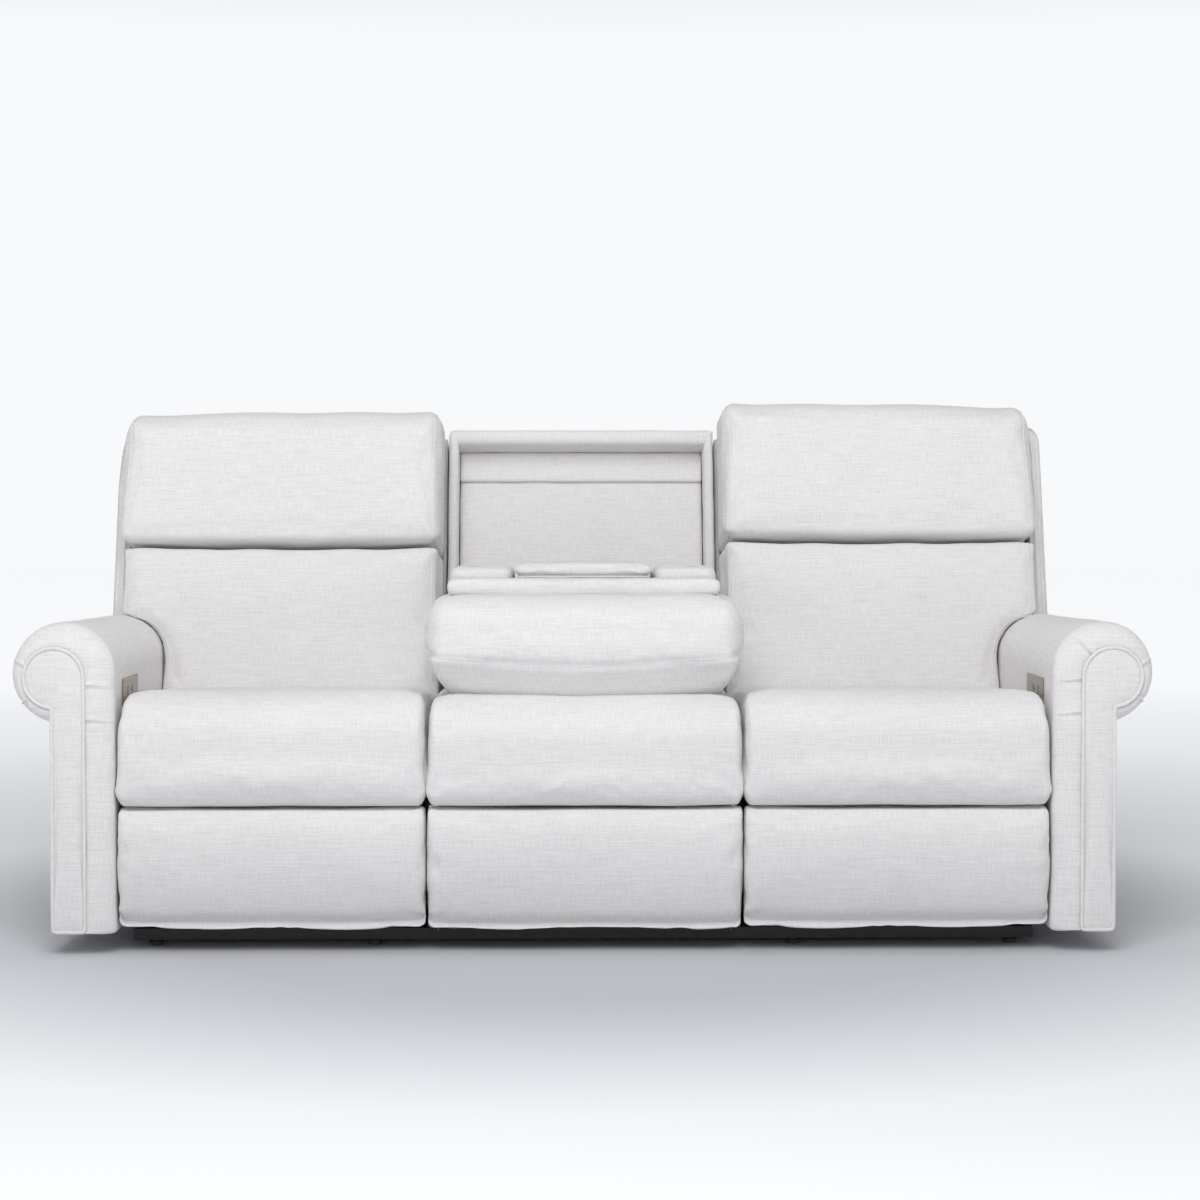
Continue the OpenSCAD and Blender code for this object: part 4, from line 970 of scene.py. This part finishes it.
def arm_rear_post(slope_top=(500, 340), seed=73):
    """The low part behind the roll, whose top falls to the rear."""
    low, high = cad("right_arm_cover")
    start = np.array([POST[0], ARM_REAR - 14, FOOT])
    end = np.array([POST[1], high[1], slope_top[0]])
    unit, quads = box_grid(start, end, 12)
    p = rounded(unit, (end - start) / 2, 12, 2.2) + (start + end) / 2
    fall = np.interp(p[:, 1], (ARM_REAR, end[1]), (1, (slope_top[1] - FOOT) / (slope_top[0] - FOOT)))
    p[:, 2] = FOOT + (p[:, 2] - FOOT) * fall
    return p + vertex_normals(p, quads) * ripple(p, 90, seed)[:, None] * 0.8, quads


rear_post = arm_rear_post()
make("arm_right", [right_cover, rear_post], "base", ("right_arm_cover",), ARM_LINEN)
make("arm_left", flipped([left_cover, rear_post]), "base", ("left_arm_cover",), ARM_LINEN)
print("arm cover points:", len(right_cover[0]))

# %% [markdown]
# The scroll panel is a thin pad inside the welt. It swells gently from its edge.


# %% Scroll panels and welts
def scroll_panel(dome=5.0):
    """The domed panel inside the welt."""
    front = cad("right_arm_cover")[0][1]
    heart = np.array([980.0, 468.0])
    ray = heart - welt_line
    length = np.linalg.norm(ray, axis=1)[:, None]
    rings = [welt_line + ray / length * np.minimum(inset, length * share)
             for inset, share in ((0, 0), (1.5, 0.1), (3.5, 0.2), (6, 0.3), (9, 0.4), (13, 0.5))]
    rings += [rings[5] + (heart - rings[5]) * share for share in (0.25, 0.5, 0.75, 0.93)]
    flat = np.concatenate(rings)
    reach = np.min(np.linalg.norm(flat[:, None] - welt_line[None, ::4], axis=2), axis=1)
    swell = dome * (1 - np.exp(-np.maximum(reach - 2, 0) / 9))
    p = np.column_stack([flat[:, 0], front + 1 - swell, flat[:, 1]])
    quads = grid_faces(len(rings), len(welt_line))
    p[:, 1] += ripple(p, 60, 74) * 0.5
    last = len(p) - len(welt_line)
    return p, quads[:, ::-1].tolist() + [[last + i for i in range(len(welt_line))][::-1]]


panel = scroll_panel()
make("scroll_panels", [panel] + flipped([panel]), "base", ("arm_front_panels",))
WELT_CORD = 3.6
welt_y = np.full(len(welt_line), cad("right_arm_cover")[0][1] - 0.6)
cord = cord_tube(np.column_stack([welt_line[:, 0], welt_y, welt_line[:, 1]]), WELT_CORD, closed=True)
make("scroll_welts", [cord] + flipped([cord]), "base", ("arm_piping",))
print("scroll panel points:", len(panel[0]))

# %% [markdown]
# The middle back is a well that the console folds into: a padded rim with a rounded front
# edge, an upholstered board behind it and a covered rail across its top. Its right upper
# corner is sewn on the mitre, the left one is wrapped.


# %% Soft bars and slabs
def soft_bar(low, high, radius, cell=8, seed=1, wave=0.6, leaning=True):
    """A padded bar with rounded edges, given by two corners."""
    low, high = np.array(low, float), np.array(high, float)
    unit, quads = box_grid(low, high, cell)
    p = rounded(unit, (high - low) / 2, radius, 2.1) + (low + high) / 2
    p += vertex_normals(p, quads) * ripple(p, 90, seed)[:, None] * wave
    return (lean(p) if leaning else p), quads


RIM_V = 120
RIM_SIDE = 22
RIM_TOP = 36
WELL_BACK = 194
WELL_LOW, WELL_TOP = 28, 494
SHELL_FRONT = 206
WELL_HALF = cad("well_rim")[1][0]
OPEN = WELL_HALF - RIM_SIDE
rim_top_u = WELL_TOP + RIM_TOP
rim = [
    soft_bar((-WELL_HALF, RIM_V, 10), (-OPEN, SHELL_FRONT, rim_top_u - 6), (9, 12, 9), seed=81),
    soft_bar((OPEN, RIM_V, 10), (WELL_HALF, SHELL_FRONT, rim_top_u - 2), (9, 12, 9), seed=82),
    soft_bar((-WELL_HALF, RIM_V, WELL_TOP), (WELL_HALF, SHELL_FRONT, rim_top_u), (12, 17, 16), seed=83),
    soft_bar((-OPEN, RIM_V + 3, 10), (OPEN, SHELL_FRONT, WELL_LOW), (4, 12, 12), seed=84),
]
mitre_ends = (WELL_HALF - 1, RIM_V + 4, rim_top_u - 6), (OPEN - 1, RIM_V + 2, WELL_TOP + 2)
mitre = lean(np.linspace(*mitre_ends, 12))
side_stitch = lean(np.linspace((OPEN + 8, RIM_V - 0.3, 40), (OPEN + 8, RIM_V - 0.3, WELL_TOP - 4), 40))
rim += [cord_tube(mitre, 2.2, sides=6), cord_tube(side_stitch, 0.9, sides=6)]
make("well_rim", rim, "base", ("well_rim",))
board_low, board_high = (-OPEN + 1, WELL_BACK, WELL_LOW), (OPEN - 1, SHELL_FRONT, WELL_TOP)
board = soft_bar(board_low, board_high, (3, 4, 3), 10, 85, 1.0)
make("well_panel", [board], "base", ("well_panel",))
RAIL_H, RAIL_T = 69, 9
rail_low, rail_high = (-OPEN + 1, WELL_BACK - RAIL_T, WELL_TOP - RAIL_H), (OPEN - 1, WELL_BACK, WELL_TOP)
rail = soft_bar(rail_low, rail_high, (3, 4, 4), 8, 86, 0.5)
make("well_rail", [rail], "base", ("well_rail",))
print("well opening:", round(2 * OPEN), "by", WELL_TOP - WELL_LOW, "mm")

# %% [markdown]
# The shells close the backs behind. Each side shell has a wing beside the cushions whose
# upper corner is rounded. A welt runs round its edge.


# %% Back shells
def arc_corner(centre, radius, start, end, count=8):
    """Points on an arc, in degrees."""
    a = np.radians(np.linspace(start, end, count))
    return np.stack([centre[0] + radius * np.cos(a), centre[1] + radius * np.sin(a)], -1)


def slab(outline, v0, v1, edge, seed, axis):
    """A padded board with this outline. Axis 0 lays it square to x, axis 1 square to v."""
    line = smooth(evenly(np.asarray(outline, float), 9), 2)
    p, faces = extruded(line, v0, v1, edge, cell=8)
    if axis:
        p = p[:, [1, 0, 2]]
        faces = [face[::-1] for face in faces]
    return lean(p + ripple(p, 120, seed)[:, None] * 0.4), faces


SHELL_LOW, SHELL_TOP, SHELL_BACK, SKIN = -300, 517, 275, 12
SHELL_IN, SIDE_FRONT = SHELL_BACK - SKIN, 152
WING_FRONT, WING_LOW, WING_SKIN, WING_R = 60, 70, 30, 27
back_low, back_high = cad("right_back_shell")
IN, OUT = back_low[0], back_high[0]
SEAT_OUT = cad("right_seat_cushion")[1][0]
rear = np.vstack([
    [[IN, SHELL_LOW], [SEAT_OUT, SHELL_LOW], [SEAT_OUT, WING_LOW], [OUT, WING_LOW]],
    arc_corner((OUT - WING_R, SHELL_TOP - WING_R), WING_R, 0, 90), [[IN, SHELL_TOP]],
])


def wing(corner_x, corner_u):
    """Outline of a wing from the front, its outer upper corner an elliptical arc."""
    arc = arc_corner((0, 0), 1, 0, 90, 12) * (corner_x, corner_u)
    arc += (OUT - corner_x, SHELL_TOP - corner_u)
    inner = OUT - WING_SKIN
    return np.vstack([[[inner, WING_LOW], [OUT, WING_LOW]], arc, [[inner, SHELL_TOP]]])


right_shell = [
    slab(rear, SHELL_IN, SHELL_BACK, 4, 91, 1),
    slab(wing(26, 40), WING_FRONT, SHELL_IN, 9, 92, 1),
    soft_bar((IN, SIDE_FRONT, SHELL_LOW), (IN + SKIN, SHELL_IN, SHELL_TOP - 1), (4, 4, 4), 20, 93),
    soft_bar((SEAT_OUT - SKIN, SIDE_FRONT, SHELL_LOW), (SEAT_OUT, SHELL_IN, WING_LOW),
             (4, 4, 4), 20, 94),
    soft_bar((SEAT_OUT, SIDE_FRONT, WING_LOW), (OUT - WING_SKIN, SHELL_IN, WING_LOW + SKIN),
             (2, 4, 4), 20, 95),
    soft_bar((IN + SKIN, SIDE_FRONT, SHELL_TOP - SKIN), (OUT - WING_SKIN + 6, SHELL_IN, SHELL_TOP),
             (4, 6, 5), 14, 96),
]
edge_line = smooth(evenly(rear, 9), 2)
edge_v = np.full(len(edge_line), SHELL_BACK - SKIN / 2)
edge_welt = np.column_stack([edge_line[:, 0], edge_v, edge_line[:, 1]])
right_shell.append(cord_tube(lean(edge_welt), 2.5, closed=True))
make("shell_right", right_shell, "right_back", ("right_back_shell",))
left_shell = list(right_shell)
left_shell[1] = slab(wing(27, 170), WING_FRONT, SHELL_IN, 9, 92, 1)
make("shell_left", flipped(left_shell), "left_back", ("left_back_shell",))
print("side shell parts:", len(right_shell))

# %% Middle shell and valance
INNER = WELL_HALF - SKIN
centre_shell = [
    soft_bar((-WELL_HALF, SHELL_IN, SHELL_LOW), (WELL_HALF, SHELL_BACK, SHELL_TOP), (4, 4, 4), 20, 97),
    soft_bar((-INNER, SHELL_FRONT, SHELL_TOP - SKIN), (INNER, SHELL_IN, SHELL_TOP), (2, 4, 5), 14, 98),
    soft_bar((-INNER, RIM_V, SHELL_LOW), (INNER, RIM_V + SKIN, 9), (2, 4, 4), 20, 99),
]
for side in (-1, 1):
    for v0, v1, top in ((SHELL_FRONT, SHELL_IN, SHELL_TOP), (RIM_V, SHELL_FRONT, 9)):
        x0, x1 = sorted((side * WELL_HALF, side * INNER))
        centre_shell.append(soft_bar((x0, v0, SHELL_LOW), (x1, v1, top), (4, 4, 4), 20, 100))
make("shell_middle", centre_shell, "base", ("centre_back_shell",))
valance = soft_bar(*cad("rear_valance"), (5, 5, 5), 14, 101, 1.2, leaning=False)
make("valance", [valance], "base", ("rear_valance",))
print("shells ready")

# %% [markdown]
# The studio: a large pale floor, its colour painted darker near the sofa as a painted shadow round
# its base and paler with the distance, with a painted glow that grows with the distance, until it
# meets a pale sky; and one soft key light above the front. So undersides turn darker.

# %% Studio
floor_mat, tree, shader = new_material("studio_floor")
NEAR, FAR = 0.9, 9.0
place = tree.nodes.new("ShaderNodeTexCoord").outputs["Object"]
away = tree.nodes.new("ShaderNodeVectorMath")
away.operation = "LENGTH"
tree.links.new(place, away.inputs[0])
distance = maths(tree, "SUBTRACT", away.outputs["Value"], NEAR)
share = maths(tree, "DIVIDE", distance, FAR - NEAR)
# floor colour: pale far off, painted darker near the sofa as a painted shadow round its base
FLOOR_TINTS_AND_PAINTED_SHADOW = [(0, (0.56, 0.572, 0.605)), (0.1, (0.80, 0.81, 0.835)), (1, (0.97, 0.975, 0.985))]
# painted glow: the floor glows, more the further it lies from the sofa, though it is no lamp
FLOOR_PAINTED_GLOW = [(0.02, (0.0, 0.0, 0.0)), (0.1, (0.12, 0.12, 0.12)), (0.4, (0.38, 0.385, 0.395)),
              (0.8, (0.52, 0.525, 0.535))]
tree.links.new(ramp(tree, share, FLOOR_TINTS_AND_PAINTED_SHADOW), shader.inputs["Base Color"])
tree.links.new(ramp(tree, share, FLOOR_PAINTED_GLOW), shader.inputs["Emission Color"])
shader.inputs["Emission Strength"].default_value = 1.0
shader.inputs["Roughness"].default_value = 1.0
shader.inputs["Specular IOR Level"].default_value = 0.0
FLOOR = 40.0
mesh = bpy.data.meshes.new("studio_floor")
corners = [(-FLOOR, -FLOOR, 0), (FLOOR, -FLOOR, 0), (FLOOR, FLOOR, 0), (-FLOOR, FLOOR, 0)]
mesh.from_pydata(corners, [], [(0, 1, 2, 3)])
floor = bpy.data.objects.new("studio_floor", mesh)
bpy.context.collection.objects.link(floor)
mesh.materials.append(floor_mat)
print("floor of", 2 * FLOOR, "m")

# %% Light
world = bpy.data.worlds.new("studio")
world.use_nodes = True
SKY = 0.96
# brightness by height: a bright horizon, a dim band, and a softer light overhead
ABOVE = [(0.0, 1.0), (0.2, 1.0), (0.42, 0.12), (0.65, 0.12), (0.8, 0.62), (1.0, 0.62)]
air = world.node_tree
up = air.nodes.new("ShaderNodeSeparateXYZ")
air.links.new(air.nodes.new("ShaderNodeTexCoord").outputs["Generated"], up.inputs[0])
bands = [(height, (0.975 * light, 0.985 * light, light)) for height, light in ABOVE]
air.links.new(ramp(air, up.outputs["Z"], bands), air.nodes["Background"].inputs["Color"])
air.nodes["Background"].inputs["Strength"].default_value = SKY
bpy.context.scene.world = world
bpy.context.scene.view_settings.view_transform = "Standard"


def area_light(name, place, target, size, power, tint):
    """A square soft box aimed at a point."""
    data = bpy.data.lights.new(name, "AREA")
    data.size, data.energy, data.color = size, power, tint
    light = bpy.data.objects.new(name, data)
    light.location = place
    light.rotation_euler = (Vector(target) - Vector(place)).to_track_quat("-Z", "Y").to_euler()
    bpy.context.collection.objects.link(light)
    return light


area_light("key", (-0.3, -3.2, 3.4), (0, 0, 0.6), 2.6, 106, (0.98, 0.992, 1.0))
print("studio ready")
